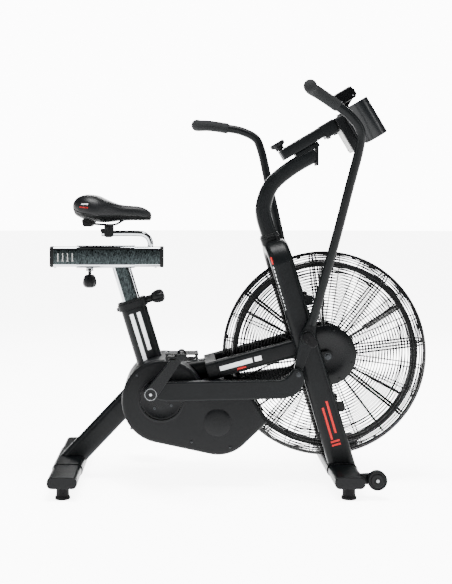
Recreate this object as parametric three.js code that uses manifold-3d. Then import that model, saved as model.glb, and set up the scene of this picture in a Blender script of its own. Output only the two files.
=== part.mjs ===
// Air bike: upright exercise bike whose cranks and swinging handles drive a large fan.
// Units are millimetres. +X points forward (towards the fan), +Y to the rider's left, +Z up.
// The origin is on the floor, under the middle of the bike's bounding box.
import * as THREE from 'three';
import { mergeVertices } from 'three/addons/utils/BufferGeometryUtils.js';
import Module from 'manifold-3d';

const wasm = await Module();
wasm.setup();

// ---------------------------------------------------------------- driving dimensions
const GAP = 0.3;                      // clearance left between pieces that touch
const SPAN = 594;                     // over the stabiliser tubes
const HALF_SPAN = SPAN / 2;
const FOOT_HEIGHT = 37.2;
const FOOT_Y = 265;

const STABILIZER = { width: 97, height: 37, corner: 16, z: 56 };
const STABILIZER_SLEEVE = { width: 103, height: 43, corner: 19, half: 130 };
const REAR_X = -574;
const FRONT_X = 341;

const FAN = { x: 298, z: 430, rim: 317, rimInner: 297, bladeInner: 163, halfWidth: 44, blades: 6 };
const CAGE = { rim: 349, flat: 285, half: 70, hubPlate: 101, wire: 5, ribs: 8, firstRib: 7 };

const LEG = { top: 78, bottom: 88, thickness: 45, y: 100.5, corner: 19 };
const LEG_FOOT = new THREE.Vector2(341, 77);
const LEG_UP = new THREE.Vector2(-215, 728).normalize();
const CROWN_LEVEL = 750;              // distance up the legs to the crown's centreline
const CROWN_RADIUS = 62;

const BOTTOM_BRACKET = new THREE.Vector2(-261, 293);
const PIN_RADIUS = 44;                // eccentric pin that drives the push rod
const PIN_ANGLE = THREE.MathUtils.degToRad(140);
const PEDAL_OFFSET = new THREE.Vector2(67.5, 162);
const JACKSHAFT = new THREE.Vector2(-74, 214);
const DRIVE_Y = -92;                  // plane of the crank belt
const FAN_BELT_Y = 57.5;              // plane of the fan belt
const DRIVE_PULLEY = 104;
const JACK_PULLEY = 34;
const FAN_DRIVE_PULLEY = 66;
const FAN_PULLEY = 28;
const BELT_THICKNESS = 4;

const HANDLE_PIVOT = new THREE.Vector2(223, 500);
const ROD_JOINT = new THREE.Vector2(190, 382);
const LEFT_SWING = THREE.MathUtils.degToRad(-25.5);

const SEAT_TOP = new THREE.Vector2(-358, 584);
const SEAT_UP = new THREE.Vector2(-57, 186).normalize();
const SEAT_FRONT = new THREE.Vector2(SEAT_UP.y, -SEAT_UP.x);
const POST = { width: 62, thickness: 40, corner: 14 };
const SLIDER = { height: 70, width: 44, corner: 12.5, z: 761, rear: -647, front: -255 };
const SLEEVE = { height: 78, width: 53, corner: 16, rear: -555, front: -354 };

const BOOM_END = new THREE.Vector2(343, 1222);
const BOOM_U = new THREE.Vector2(193, 114).normalize();
const BOOM_V = new THREE.Vector2(BOOM_U.y, -BOOM_U.x);
const BOOM = { height: 37, width: 60, corner: 6, rear: -224, front: -8 };
const CUP = { u: 81.7, y: -55, radius: 41, wall: 2.5, top: -28, bottom: 110 };
const POD_HINGE = { u: 62, v: -36, y: 38 };

// ---------------------------------------------------------------- finishes
const finish = (color, roughness, metalness) => ({ color, roughness, metalness });
const FINISH = {
  powder: finish(0x1c1f21, 0.45, 0.3),
  chrome: finish(0xc9ccd0, 0.12, 1),
  steel: finish(0x8d9093, 0.35, 0.9),
  plastic: finish(0x1a1c1e, 0.55, 0),
  gloss: finish(0x0c0d0e, 0.2, 0),
  rubber: finish(0x141516, 0.85, 0),
  foam: finish(0x101112, 0.9, 0),
  vinyl: finish(0x17181a, 0.5, 0),
  aluminium: finish(0xa8abae, 0.4, 0.8),
};

// ---------------------------------------------------------------- solids
function toSolid(geometry) {
  const bare = geometry.clone();
  bare.deleteAttribute('normal');
  bare.deleteAttribute('uv');
  const merged = mergeVertices(bare, 1e-4);
  return new wasm.Manifold(new wasm.Mesh({
    numProp: 3,
    vertProperties: new Float32Array(merged.attributes.position.array),
    triVerts: new Uint32Array(merged.index.array),
  }));
}

function toGeometry(solid) {
  const mesh = solid.getMesh();
  const geometry = new THREE.BufferGeometry();
  geometry.setAttribute('position', new THREE.BufferAttribute(mesh.vertProperties, 3));
  geometry.setIndex(new THREE.BufferAttribute(mesh.triVerts, 1));
  geometry.computeVertexNormals();
  return geometry;
}

function join(...pieces) {
  return toGeometry(pieces.map(toSolid).reduce((whole, piece) => whole.add(piece)));
}

function cut(base, ...tools) {
  return toGeometry(tools.map(toSolid).reduce((whole, tool) => whole.subtract(tool), toSolid(base)));
}

// ---------------------------------------------------------------- outlines and primitives
function roundedRect(width, height, corner, cx = 0, cy = 0) {
  const x0 = cx - width / 2;
  const x1 = cx + width / 2;
  const y0 = cy - height / 2;
  const y1 = cy + height / 2;
  const shape = new THREE.Shape();
  shape.absarc(x1 - corner, y0 + corner, corner, -Math.PI / 2, 0, false);
  shape.absarc(x1 - corner, y1 - corner, corner, 0, Math.PI / 2, false);
  shape.absarc(x0 + corner, y1 - corner, corner, Math.PI / 2, Math.PI, false);
  shape.absarc(x0 + corner, y0 + corner, corner, Math.PI, 1.5 * Math.PI, false);
  shape.closePath();
  return shape;
}

// Angles, on two overlapping circles, of the point where they cross on the upper side.
function crossing([firstX, firstZ, firstRadius], [lastX, lastZ, lastRadius], grow) {
  const along = Math.atan2(lastZ - firstZ, lastX - firstX);
  const apart = Math.hypot(lastX - firstX, lastZ - firstZ);
  const first = firstRadius + grow;
  const last = lastRadius + grow;
  const share = (first ** 2 - last ** 2 + apart ** 2) / (2 * apart);
  return [along + Math.acos(share / first), along + Math.PI - Math.acos((apart - share) / last)];
}

// Outline round a chain of circles [x, z, radius], given anticlockwise. A notched chain
// isn't bridged from its last circle to its first, which overlap.
function hullOutline(circles, grow = 0, notched = false) {
  const count = circles.length;
  const exits = circles.map(([x, y, r], i) => {
    const [nextX, nextY, nextR] = circles[(i + 1) % count];
    const direction = Math.atan2(nextY - y, nextX - x);
    return direction - Math.acos((r - nextR) / Math.hypot(nextX - x, nextY - y));
  });
  const shape = new THREE.Shape();
  const [firstStart, lastEnd] = notched ? crossing(circles[0], circles[count - 1], grow) : [];
  circles.forEach(([x, y, r], i) => {
    const start = notched && i === 0 ? firstStart : exits[(i + count - 1) % count];
    const end = notched && i === count - 1 ? lastEnd : exits[i];
    const turn = THREE.MathUtils.euclideanModulo(end - start, 2 * Math.PI);
    shape.absarc(x, y, r + grow, start, start + turn, false);
  });
  shape.closePath();
  return shape;
}

// Extrudes an outline drawn in the XZ plane from y0 to y1.
function plate(shape, y0, y1, curveSegments = 3) {
  const geometry = new THREE.ExtrudeGeometry(shape, {
    depth: y1 - y0, bevelEnabled: false, curveSegments,
  });
  geometry.rotateX(Math.PI / 2);
  geometry.translate(0, y1, 0);
  return geometry;
}

function box(x0, x1, y0, y1, z0, z1) {
  const geometry = new THREE.BoxGeometry(x1 - x0, y1 - y0, z1 - z0);
  geometry.translate((x0 + x1) / 2, (y0 + y1) / 2, (z0 + z1) / 2);
  return geometry;
}

function rod(radius, y0, y1, x, z, sides = 20) {
  const geometry = new THREE.CylinderGeometry(radius, radius, y1 - y0, sides);
  geometry.translate(x, (y0 + y1) / 2, z);
  return geometry;
}

function frameAt(origin, xAxis, yAxis, zAxis) {
  return new THREE.Matrix4().makeBasis(xAxis, yAxis, zAxis).setPosition(origin);
}

// Straight tube in the XZ plane: width is measured in that plane, thickness along Y.
function tube(start, end, section, y = 0, grow = 0) {
  const along = new THREE.Vector3(end.x - start.x, 0, end.y - start.y);
  const length = along.length();
  along.normalize();
  const lateral = new THREE.Vector3(0, 1, 0);
  const across = new THREE.Vector3().crossVectors(lateral, along);
  const { width, thickness, corner, endWidth = width } = section;
  const shape = roundedRect(width + 2 * grow, thickness + 2 * grow, corner + grow);
  const geometry = new THREE.ExtrudeGeometry(shape, {
    depth: length + 2 * grow, bevelEnabled: false, curveSegments: 1,
  });
  geometry.translate(0, 0, -grow);
  const place = geometry.attributes.position;
  for (let i = 0; i < place.count; i++) {
    const share = THREE.MathUtils.clamp(place.getZ(i) / length, 0, 1);
    place.setX(i, place.getX(i) * THREE.MathUtils.lerp(1, endWidth / width, share));
  }
  return geometry.applyMatrix4(frameAt(new THREE.Vector3(start.x, y, start.y), across, lateral, along));
}

function sweep(curve, shape, steps, curveSegments = 1) {
  return new THREE.ExtrudeGeometry(shape, { extrudePath: curve, steps, bevelEnabled: false, curveSegments });
}

function circleShape(radius, hole = 0) {
  const shape = new THREE.Shape().absarc(0, 0, radius, 0, 2 * Math.PI, false);
  if (hole > 0) shape.holes.push(new THREE.Path().absarc(0, 0, hole, 0, 2 * Math.PI, true));
  return shape;
}

// Turned piece: profile is [radius, height] pairs, its axis points along direction.
function turned(profile, origin, direction, segments = 20) {
  const points = profile.map(([radius, height]) => new THREE.Vector2(radius, height));
  const geometry = new THREE.LatheGeometry(points, segments);
  const up = new THREE.Vector3(0, 1, 0);
  geometry.applyQuaternion(new THREE.Quaternion().setFromUnitVectors(up, direction.clone().normalize()));
  return geometry.translate(origin.x, origin.y, origin.z);
}

function ring(inner, outer, y0, y1, x, z, segments = 36) {
  const profile = [[inner, y0], [outer, y0], [outer, y1], [inner, y1], [inner, y0]];
  return turned(profile, new THREE.Vector3(x, 0, z), new THREE.Vector3(0, 1, 0), segments);
}

function mirrored(geometry) {
  const copy = geometry.index ? geometry.toNonIndexed() : geometry.clone();
  copy.scale(1, -1, 1);
  const place = copy.attributes.position;
  for (let i = 0; i < place.count; i += 3) {
    const first = new THREE.Vector3().fromBufferAttribute(place, i);
    const last = new THREE.Vector3().fromBufferAttribute(place, i + 2);
    place.setXYZ(i, last.x, last.y, last.z);
    place.setXYZ(i + 2, first.x, first.y, first.z);
  }
  copy.computeVertexNormals();
  return copy;
}

function turnedAbout(geometry, pivot, angle) {
  const copy = geometry.clone();
  copy.translate(-pivot.x, 0, -pivot.y);
  copy.rotateY(angle);
  return copy.translate(pivot.x, 0, pivot.y);
}

const onLeg = (distance) => LEG_FOOT.clone().addScaledVector(LEG_UP, distance);
function onSeat(up, forward = 0) {
  return SEAT_TOP.clone().addScaledVector(SEAT_UP, up).addScaledVector(SEAT_FRONT, forward);
}
const onBoom = (u, v) => BOOM_END.clone().addScaledVector(BOOM_U, u).addScaledVector(BOOM_V, v);
const at3 = (point, y = 0) => new THREE.Vector3(point.x, y, point.y);

// ---------------------------------------------------------------- base
function stabilizer(x) {
  const { width, height, corner, z } = STABILIZER;
  const sleeve = STABILIZER_SLEEVE;
  return join(
    plate(roundedRect(width, height, corner, x, z), -HALF_SPAN, HALF_SPAN, 2),
    plate(roundedRect(sleeve.width, sleeve.height, sleeve.corner, x, z), -sleeve.half, sleeve.half, 2),
  );
}

function stabilizerClearance(x) {
  const { width, height, corner, half } = STABILIZER_SLEEVE;
  const shape = roundedRect(width + 2 * GAP, height + 2 * GAP, corner + GAP, x, STABILIZER.z);
  return join(plate(shape, -half - GAP, half + GAP, 2), box(x - 90, x + 90, -150, 150, -60, 64));
}

const WHEEL = { x: 429, z: 62, radius: 31.5, pin: 6, inner: 266, outer: 290 };

function frontStabilizer() {
  const arms = [-1, 1].flatMap((side) => {
    const [armY0, armY1] = side < 0 ? [-262, -240] : [240, 262];
    const [pinY0, pinY1] = side < 0 ? [-291.5, -250] : [250, 291.5];
    return [
      plate(hullOutline([[FRONT_X + 34, 59, 16], [WHEEL.x, WHEEL.z, 16]]), armY0, armY1),
      rod(WHEEL.pin, pinY0, pinY1, WHEEL.x, WHEEL.z, 12),
    ];
  });
  return join(stabilizer(FRONT_X), ...arms);
}

function transportWheel(side) {
  const y0 = side < 0 ? -WHEEL.outer : WHEEL.inner;
  return ring(WHEEL.pin + 0.4, WHEEL.radius, y0, y0 + WHEEL.outer - WHEEL.inner, WHEEL.x, WHEEL.z, 16);
}

function foot(x, y) {
  const profile = [[0, 0], [24.5, 0], [24.5, 6], [21, 10], [21, FOOT_HEIGHT], [0, FOOT_HEIGHT]];
  return turned(profile, new THREE.Vector3(x, y, 0), new THREE.Vector3(0, 0, 1), 12);
}

// ---------------------------------------------------------------- frame tubes
const REAR_LEG_SECTION = { width: 76, thickness: 50, corner: 22 };
const SEAT_TUBE_SECTION = { width: 90, thickness: 56, corner: 25 };
const MAIN_SECTION = { width: 64, thickness: 60, corner: 22 };
const YOKE_SECTION = { width: 60, thickness: 220, corner: 12 };
const RAIL_SECTION = { width: 60, thickness: 32, corner: 12 };
const RAIL_Y = 94;
const RAIL_START = new THREE.Vector2(-71, 389);
const RAIL_DIRECTION = new THREE.Vector2(235, 64).normalize();
const SHELL = { radius: 38, half: 36, bore: 14.5 };
const SPINDLE = 14;

const seatTubeBody = (grow = 0) => tube(onSeat(0), onSeat(-298), SEAT_TUBE_SECTION, 0, grow);
const shellBody = (grow = 0) => rod(SHELL.radius + grow, -SHELL.half - grow, SHELL.half + grow,
  BOTTOM_BRACKET.x, BOTTOM_BRACKET.y, 20);
const rearLegBody = (grow = 0) => tube(new THREE.Vector2(-290, 358.4), new THREE.Vector2(-602, 29.9),
  REAR_LEG_SECTION, 0, grow);

function seatTube() {
  const bore = tube(onSeat(5), onSeat(-310),
    { width: POST.width + 1.4, thickness: POST.thickness + 1.4, corner: POST.corner + 0.7 });
  return cut(seatTubeBody(), bore, shellBody(GAP));
}

function bottomBracketShell() {
  return ring(SHELL.bore, SHELL.radius, -SHELL.half, SHELL.half, BOTTOM_BRACKET.x, BOTTOM_BRACKET.y, 20);
}

function rearLeg() {
  return cut(rearLegBody(), seatTubeBody(GAP), shellBody(GAP), stabilizerClearance(REAR_X));
}

function mainTubeBody(grow = 0) {
  const yokeEnd = RAIL_START.clone().addScaledVector(RAIL_DIRECTION, -GAP - grow);
  const yokeStart = RAIL_START.clone().addScaledVector(RAIL_DIRECTION, -38);
  return join(
    tube(new THREE.Vector2(-285, 351), yokeStart.clone().addScaledVector(RAIL_DIRECTION, 8), MAIN_SECTION, 0, grow),
    tube(yokeStart, yokeEnd, YOKE_SECTION, 0, grow),
    plate(hullOutline([[-112, 372, 24], [JACKSHAFT.x, JACKSHAFT.y, 22]], grow), -14 - grow, 14 + grow),
  );
}

function mainTube() {
  return cut(mainTubeBody(), seatTubeBody(GAP), shellBody(GAP), rearLegBody(GAP),
    rod(8.4, -20, 20, JACKSHAFT.x, JACKSHAFT.y, 16));
}

const railBody = (side, grow = 0) => tube(RAIL_START,
  RAIL_START.clone().addScaledVector(RAIL_DIRECTION, 295), RAIL_SECTION, side * RAIL_Y, grow);

function legBody(side, grow = 0) {
  const section = { width: LEG.top, endWidth: LEG.bottom, thickness: LEG.thickness, corner: LEG.corner };
  return tube(onLeg(CROWN_LEVEL - CROWN_RADIUS - GAP - grow), onLeg(-40), section, side * LEG.y, grow);
}

function rail(side) {
  return cut(railBody(side), legBody(side, GAP));
}

// A fork leg carries the fan's axle plate and two small clamps for the fan's cage.
function forkLeg(side) {
  const axlePlate = plate(hullOutline([[250, 420, 18], [FAN.x, FAN.z, 18]]), 86, 94);
  const clamps = [259, 618].map((z) => {
    const x = LEG_FOOT.x + (z - LEG_FOOT.y) * (LEG_UP.x / LEG_UP.y);
    return box(x + 10, x + 68, CAGE.half + 0.6, 90, z - 17, z + 17);
  });
  const whole = cut(join(legBody(1), axlePlate, ...clamps), rod(8.4, 80, 100, FAN.x, FAN.z, 16),
    stabilizerClearance(FRONT_X));
  return side > 0 ? whole : mirrored(whole);
}

// Path of the crown: up one leg, round, across the middle and down to the other leg.
class CrownPath extends THREE.Curve {
  getPoint(t, target = new THREE.Vector3()) {
    const arc = CROWN_RADIUS * Math.PI / 2;
    const flat = LEG.y - CROWN_RADIUS;
    const travelled = t * 2 * (arc + flat);
    const side = travelled < arc + flat ? -1 : 1;
    const rest = side < 0 ? travelled : 2 * (arc + flat) - travelled;
    const angle = Math.min(rest, arc) / CROWN_RADIUS;
    const y = LEG.y - CROWN_RADIUS * (1 - Math.cos(angle)) - Math.max(0, rest - arc);
    const up = CROWN_LEVEL - CROWN_RADIUS * (1 - Math.sin(angle));
    return target.copy(at3(onLeg(up), side * y));
  }
}

const SOCKET = { width: 66, thickness: 66, corner: 30 };
const MAST = { width: 52, thickness: 56, corner: 16 };
const MAST_FOOT = new THREE.Vector2(110, 829);

const mastSocket = (grow = 0) => tube(MAST_FOOT.clone().addScaledVector(LEG_UP, -24), MAST_FOOT, SOCKET, 0, grow);

function forkCrown() {
  const shape = roundedRect(LEG.thickness, LEG.top, LEG.corner);
  return join(sweep(new CrownPath(), shape, 12), mastSocket());
}

function consoleMast() {
  const start = MAST_FOOT.clone().addScaledVector(LEG_UP, GAP + 0.2);
  const path = [[start.x, start.y], [88, 912], [94, 960], [118, 1010], [169, 1056], [215, 1086], [272, 1117]];
  const curve = new THREE.CatmullRomCurve3(path.map(([x, z]) => new THREE.Vector3(x, 0, z)), false, 'centripetal');
  const endPlate = box(268, 276, -30, 30, 1075, 1154);
  const boomBracket = tube(onBoom(-182, 28), onBoom(-93, 28), { width: 18, thickness: 48, corner: 3 });
  const mast = join(sweep(curve, roundedRect(MAST.thickness, MAST.width, MAST.corner), 12), endPlate);
  return join(cut(mast, box(276, 340, -60, 60, 1000, 1200), mastSocket(GAP)), boomBracket);
}

// ---------------------------------------------------------------- belt covers
const COVER = { face: 125, wall: 3, port: 72 };
const COVER_CIRCLES = [
  [-254, 283, 140], [-72, 229, 125], [86, 218, 8], [42, 286, 8], [-72, 229, 125],
];

function coverShell(hole) {
  const outer = plate(hullOutline(COVER_CIRCLES, 0, true), GAP, COVER.face, 5);
  const inner = plate(hullOutline(COVER_CIRCLES, -COVER.wall, true), -5, COVER.face - COVER.wall, 5);
  const hubDome = turned([[0, -3], [44, -3], [44, 2], [36, 6], [0, 7]],
    at3(JACKSHAFT, COVER.face), new THREE.Vector3(0, 1, 0), 16);
  return cut(
    join(cut(outer, inner), hubDome),
    rod(CAGE.rim + 7, -5, CAGE.half + 4, FAN.x, FAN.z, 40),
    rod(hole, 80, 140, BOTTOM_BRACKET.x, BOTTOM_BRACKET.y, 20),
    seatTubeBody(1), rearLegBody(1), mainTubeBody(1), railBody(1, 1),
  );
}

function portPlate() {
  return ring(SPINDLE + 2, COVER.port - 2, -121.5, -117.5, BOTTOM_BRACKET.x, BOTTOM_BRACKET.y, 20);
}

// ---------------------------------------------------------------- drive
const pinCentre = (side) => BOTTOM_BRACKET.clone().add(
  new THREE.Vector2(Math.cos(PIN_ANGLE), Math.sin(PIN_ANGLE)).multiplyScalar(-side * PIN_RADIUS));
const pedalCentre = (side) => BOTTOM_BRACKET.clone().addScaledVector(PEDAL_OFFSET, -side);
const PIN = 12;
const ROD_BAR = { inner: 153, outer: 182, eye: 21, tilt: THREE.MathUtils.degToRad(6.5) };
// The rod's outline from its eye, along the underside, round the nose and the lug, and back.
const ROD_OUTLINE = [
  [17, -18], [33, -24], [55, -27], [408, -19], [440, -17], [466, -10], [482, 0], [494, 13], [501, 29],
  [503, 47], [501, 65], [494, 76], [485, 80], [474, 80], [466, 75], [458, 64], [448, 53], [436, 46],
  [421, 44], [55, 38], [37, 34], [20, 22],
];
const CRANK_ARM = { inner: 187, outer: 205 };

const sideSpan = (side, near, far) => (side > 0 ? [near, far] : [-far, -near]);

function crankshaft() {
  const pieces = [rod(SPINDLE, -140, 140, BOTTOM_BRACKET.x, BOTTOM_BRACKET.y, 20)];
  for (const side of [-1, 1]) {
    const pin = pinCentre(side);
    pieces.push(plate(hullOutline([[BOTTOM_BRACKET.x, BOTTOM_BRACKET.y, 26], [pin.x, pin.y, 22]]),
      ...sideSpan(side, 132, 150), 4));
    pieces.push(rod(PIN, ...sideSpan(side, 145, 204), pin.x, pin.y, 16));
  }
  return join(...pieces);
}

function crankArm(side) {
  const pin = pinCentre(side);
  const pedal = pedalCentre(side);
  const bar = plate(hullOutline([[pin.x, pin.y, 22], [pedal.x, pedal.y, 14]]),
    ...sideSpan(side, CRANK_ARM.inner, CRANK_ARM.outer), 4);
  const bore = rod(PIN + GAP, ...sideSpan(side, 180, 210), pin.x, pin.y, 16);
  return join(cut(bar, bore), rod(7, ...sideSpan(side, 195, 288), pedal.x, pedal.y, 12));
}

function pedal(side) {
  const { x, y: z } = pedalCentre(side);
  const body = plate(roundedRect(107, 25, 8, x, z), ...sideSpan(side, 210, HALF_SPAN), 1);
  return cut(body, rod(7.5, ...sideSpan(side, 200, 290), x, z, 12));
}

function pushRod(side) {
  const pin = pinCentre(side);
  const turn = side < 0 ? 0 : ROD_BAR.tilt;
  const points = ROD_OUTLINE.map(([x, z]) => new THREE.Vector2(x, z).rotateAround(new THREE.Vector2(), turn).add(pin));
  const bar = plate(new THREE.Shape(points), ...sideSpan(side, ROD_BAR.inner, ROD_BAR.outer), 4);
  const eye = rod(ROD_BAR.eye, ...sideSpan(side, ROD_BAR.inner, ROD_BAR.outer), pin.x, pin.y, 24);
  return cut(join(bar, eye), rod(PIN + 0.5, ...sideSpan(side, 150, 185), pin.x, pin.y, 16));
}

function pulley(radius, bore, y, centre, width = 12, hubEnd = 0) {
  const half = width / 2;
  const lip = 1.5;
  const profile = [
    [bore, -half - lip], [radius + 3, -half - lip], [radius + 3, -half], [radius, -half],
    [radius, half], [radius + 3, half], [radius + 3, half + lip], [bore, half + lip], [bore, -half - lip],
  ];
  if (hubEnd !== 0) profile.splice(0, 1, [bore, hubEnd - y], [20, hubEnd - y], [20, -half - lip]);
  if (hubEnd !== 0) profile[profile.length - 1] = [bore, hubEnd - y];
  return turned(profile, at3(centre, y), new THREE.Vector3(0, 1, 0), 20);
}

function belt(first, firstRadius, second, secondRadius, y, width) {
  const circles = [[first.x, first.y, firstRadius + 1.6], [second.x, second.y, secondRadius + 1.6]];
  const shape = hullOutline(circles, BELT_THICKNESS);
  shape.holes.push(hullOutline(circles));
  return plate(shape, y - width / 2, y + width / 2, 6);
}

function jackshaft() {
  const half = 6;
  const flange = JACK_PULLEY + 3;
  const shaft = 8;
  const profile = [
    [0, -116], [shaft, -116], [shaft, DRIVE_Y - half - 1.5], [flange, DRIVE_Y - half - 1.5],
    [flange, DRIVE_Y - half], [JACK_PULLEY, DRIVE_Y - half], [JACK_PULLEY, DRIVE_Y + half],
    [flange, DRIVE_Y + half], [flange, DRIVE_Y + half + 1.5], [shaft, DRIVE_Y + half + 1.5],
    [shaft, FAN_BELT_Y + 12], [0, FAN_BELT_Y + 12],
  ];
  return turned(profile, at3(JACKSHAFT), new THREE.Vector3(0, 1, 0), 16);
}

const FAN_CENTRE = new THREE.Vector2(FAN.x, FAN.z);

function fanAxle() {
  const nut = (side) => rod(13, ...sideSpan(side, 94.4, 104), FAN.x, FAN.z, 6);
  return join(rod(8, -100, 100, FAN.x, FAN.z, 16), nut(-1), nut(1));
}

function fanWheel() {
  const pieces = [
    ring(8.5, 45, -39.5, 39.5, FAN.x, FAN.z, 16),
    ring(8.5, 96, -3, 3, FAN.x, FAN.z, 16),
    ring(FAN.rimInner, FAN.rim, -12, 12, FAN.x, FAN.z, 32),
  ];
  for (let i = 0; i < FAN.blades; i++) {
    const angle = (i / FAN.blades) * 2 * Math.PI - THREE.MathUtils.degToRad(32);
    const arm = box(FAN.x + 80, FAN.x + FAN.bladeInner + 8, -11, 11, FAN.z - 3.2, FAN.z + 3.2);
    const blade = box(FAN.x + FAN.bladeInner, FAN.x + FAN.rimInner + 6, -FAN.halfWidth, FAN.halfWidth,
      FAN.z - 1.6, FAN.z + 1.6);
    pieces.push(turnedAbout(arm, FAN_CENTRE, angle), turnedAbout(blade, FAN_CENTRE, angle));
  }
  return join(...pieces);
}

// ---------------------------------------------------------------- fan cage
// Point on the cage's side profile: flat out to CAGE.flat, then a quarter ellipse to the rim.
function cageProfile(angle, inset) {
  const a = CAGE.rim - CAGE.flat - inset;
  const b = CAGE.half - 8 - inset;
  return new THREE.Vector2(CAGE.flat + a * Math.sin(angle), 8 + b * Math.cos(angle));
}

function cageRib() {
  const shape = new THREE.Shape();
  const steps = 3;
  shape.moveTo(96, CAGE.half);
  for (let i = 0; i <= steps; i++) {
    const point = cageProfile((i / steps) * Math.PI / 2, 0);
    shape.lineTo(point.x, point.y);
  }
  for (let i = steps; i >= 0; i--) {
    const point = cageProfile((i / steps) * Math.PI / 2, CAGE.wire);
    shape.lineTo(point.x, point.y);
  }
  shape.lineTo(96, CAGE.half - CAGE.wire);
  shape.closePath();
  const geometry = new THREE.ExtrudeGeometry(shape, { depth: CAGE.wire, bevelEnabled: false });
  return geometry.translate(0, 0, -CAGE.wire / 2);
}

function cageRing(radius, y) {
  return ring(radius - CAGE.wire, radius, y - CAGE.wire, y, FAN.x, FAN.z, 24);
}

function leftGuard() {
  const pieces = [
    ring(9.5, CAGE.hubPlate, CAGE.half - 4, CAGE.half, FAN.x, FAN.z, 24),
    cageRing(195, CAGE.half),
    cageRing(CAGE.flat, CAGE.half),
    ring(CAGE.rim - CAGE.wire, CAGE.rim, GAP, 9, FAN.x, FAN.z, 24),
  ];
  for (let i = 0; i < CAGE.ribs; i++) {
    const angle = THREE.MathUtils.degToRad(-CAGE.firstRib) - (i / CAGE.ribs) * 2 * Math.PI;
    pieces.push(cageRib().rotateY(angle).translate(FAN.x, 0, FAN.z));
  }
  return join(...pieces);
}

// The left half is open where the fan belt passes in.
function beltWindow() {
  const circles = [[JACKSHAFT.x, JACKSHAFT.y, FAN_DRIVE_PULLEY], [FAN.x - 120, FAN.z - 70, 44]];
  return plate(hullOutline(circles, 10), 44, CAGE.half + 5);
}

// ---------------------------------------------------------------- handles and pegs
const HANDLE_POINTS = [
  [240, 548, -138], [252, 596, -147], [311, 824, -180], [351, 989, -200], [386, 1136, -214],
  [387, 1178, -220], [352, 1226, -228], [304, 1262, -235], [250, 1298, -241], [222, 1313, -256], [214, 1322, -287],
];
const HANDLE_STEPS = 24;
const GRIP_FIRST_STEP = 20;
const HANDLE_TUBE = 15;
const GRIP_RADIUS = 20;
const handleCurve = new THREE.CatmullRomCurve3(
  HANDLE_POINTS.map(([x, z, y]) => new THREE.Vector3(x, y, z)), false, 'centripetal');

function rightHandleArm() {
  const { x, y: z } = HANDLE_PIVOT;
  return cut(join(
    rod(22, -151, -126.5, x, z, 16),
    plate(hullOutline([[x, z, 23], [ROD_JOINT.x, ROD_JOINT.y, 13]]), -147, -130, 4),
    plate(hullOutline([[x, z, 23], [243, 560, 12]]), -147, -130, 4),
    sweep(handleCurve, circleShape(HANDLE_TUBE), HANDLE_STEPS, 4),
  ), rod(12.5, -160, -120, x, z, 16));
}

function rightGrip() {
  const spaced = handleCurve.getSpacedPoints(HANDLE_STEPS).slice(GRIP_FIRST_STEP);
  const steps = spaced.length - 1;
  const path = new THREE.CatmullRomCurve3(spaced, false, 'centripetal');
  return sweep(path, circleShape(GRIP_RADIUS, HANDLE_TUBE + 1.8), steps, 4);
}

const toLeft = (geometry) => turnedAbout(mirrored(geometry), HANDLE_PIVOT, LEFT_SWING);

function footPeg(side) {
  const profile = [[0, 123.4], [12, 123.4], [12, 152], [15.5, 152], [15.5, 291], [0, 291]];
  return turned(profile, at3(HANDLE_PIVOT), new THREE.Vector3(0, side, 0), 12);
}

// ---------------------------------------------------------------- seat
const HEIGHT_KNOB_UP = 8;
const SLIDE_KNOB_X = -510.5;
const KNOB_PROFILE = [[11, 0], [11, 6], [22, 9], [24, 24], [20, 38], [10, 44], [0, 46]];
const KNOB_PIN = 6;

function knob(pinLength, origin, direction) {
  const profile = [[0, -pinLength], [KNOB_PIN, -pinLength], [KNOB_PIN, 0], ...KNOB_PROFILE];
  return turned(profile, origin, direction, 12);
}

function seatTubeCollar() {
  const body = tube(onSeat(GAP), onSeat(31), { width: 104, thickness: 68, corner: 28 });
  const front = at3(SEAT_FRONT);
  const boss = turned([[0, 0], [13, 0], [13, 34], [0, 34]], at3(onSeat(HEIGHT_KNOB_UP + 7, 34)), front, 12);
  const bore = tube(onSeat(-5), onSeat(36),
    { width: POST.width + 1.4, thickness: POST.thickness + 1.4, corner: POST.corner + 0.7 });
  const pinBore = turned([[0, 0], [KNOB_PIN + 0.5, 0], [KNOB_PIN + 0.5, 60], [0, 60]],
    at3(onSeat(HEIGHT_KNOB_UP + 7, 20)), front, 12);
  return cut(join(body, boss), bore, pinBore);
}

function seatPost() {
  const middle = (SLEEVE.rear + SLEEVE.front) / 2;
  const along = (width, height, corner, rear, front) => tube(
    new THREE.Vector2(rear, SLIDER.z), new THREE.Vector2(front, SLIDER.z),
    { width: height, thickness: width, corner });
  const sleeve = along(SLEEVE.width, SLEEVE.height, SLEEVE.corner, SLEEVE.rear, SLEEVE.front);
  const bore = along(SLIDER.width + 1, SLIDER.height + 1, SLIDER.corner + 0.5, middle - 120, middle + 120);
  const post = tube(onSeat(158), onSeat(-170), POST);
  const boss = turned([[0, 0], [13, 0], [13, 12], [0, 12]],
    new THREE.Vector3(SLIDE_KNOB_X, 0, 712), new THREE.Vector3(0, 0, 1), 12);
  const pinBore = turned([[0, 0], [KNOB_PIN + 0.5, 0], [KNOB_PIN + 0.5, 30], [0, 30]],
    new THREE.Vector3(SLIDE_KNOB_X, 0, 705), new THREE.Vector3(0, 0, 1), 12);
  return cut(join(sleeve, post, boss), bore, pinBore);
}

function seatSlider() {
  return tube(new THREE.Vector2(SLIDER.rear, SLIDER.z), new THREE.Vector2(SLIDER.front, SLIDER.z),
    { width: SLIDER.height, thickness: SLIDER.width, corner: SLIDER.corner });
}

function saddlePost() {
  const points = [[-301, 796.4], [-301, 808], [-308, 826], [-324, 838], [-344, 841], [-466, 841]];
  const curve = new THREE.CatmullRomCurve3(points.map(([x, z]) => new THREE.Vector3(x, 0, z)), false, 'centripetal');
  return sweep(curve, circleShape(10), 12, 5);
}

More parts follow.
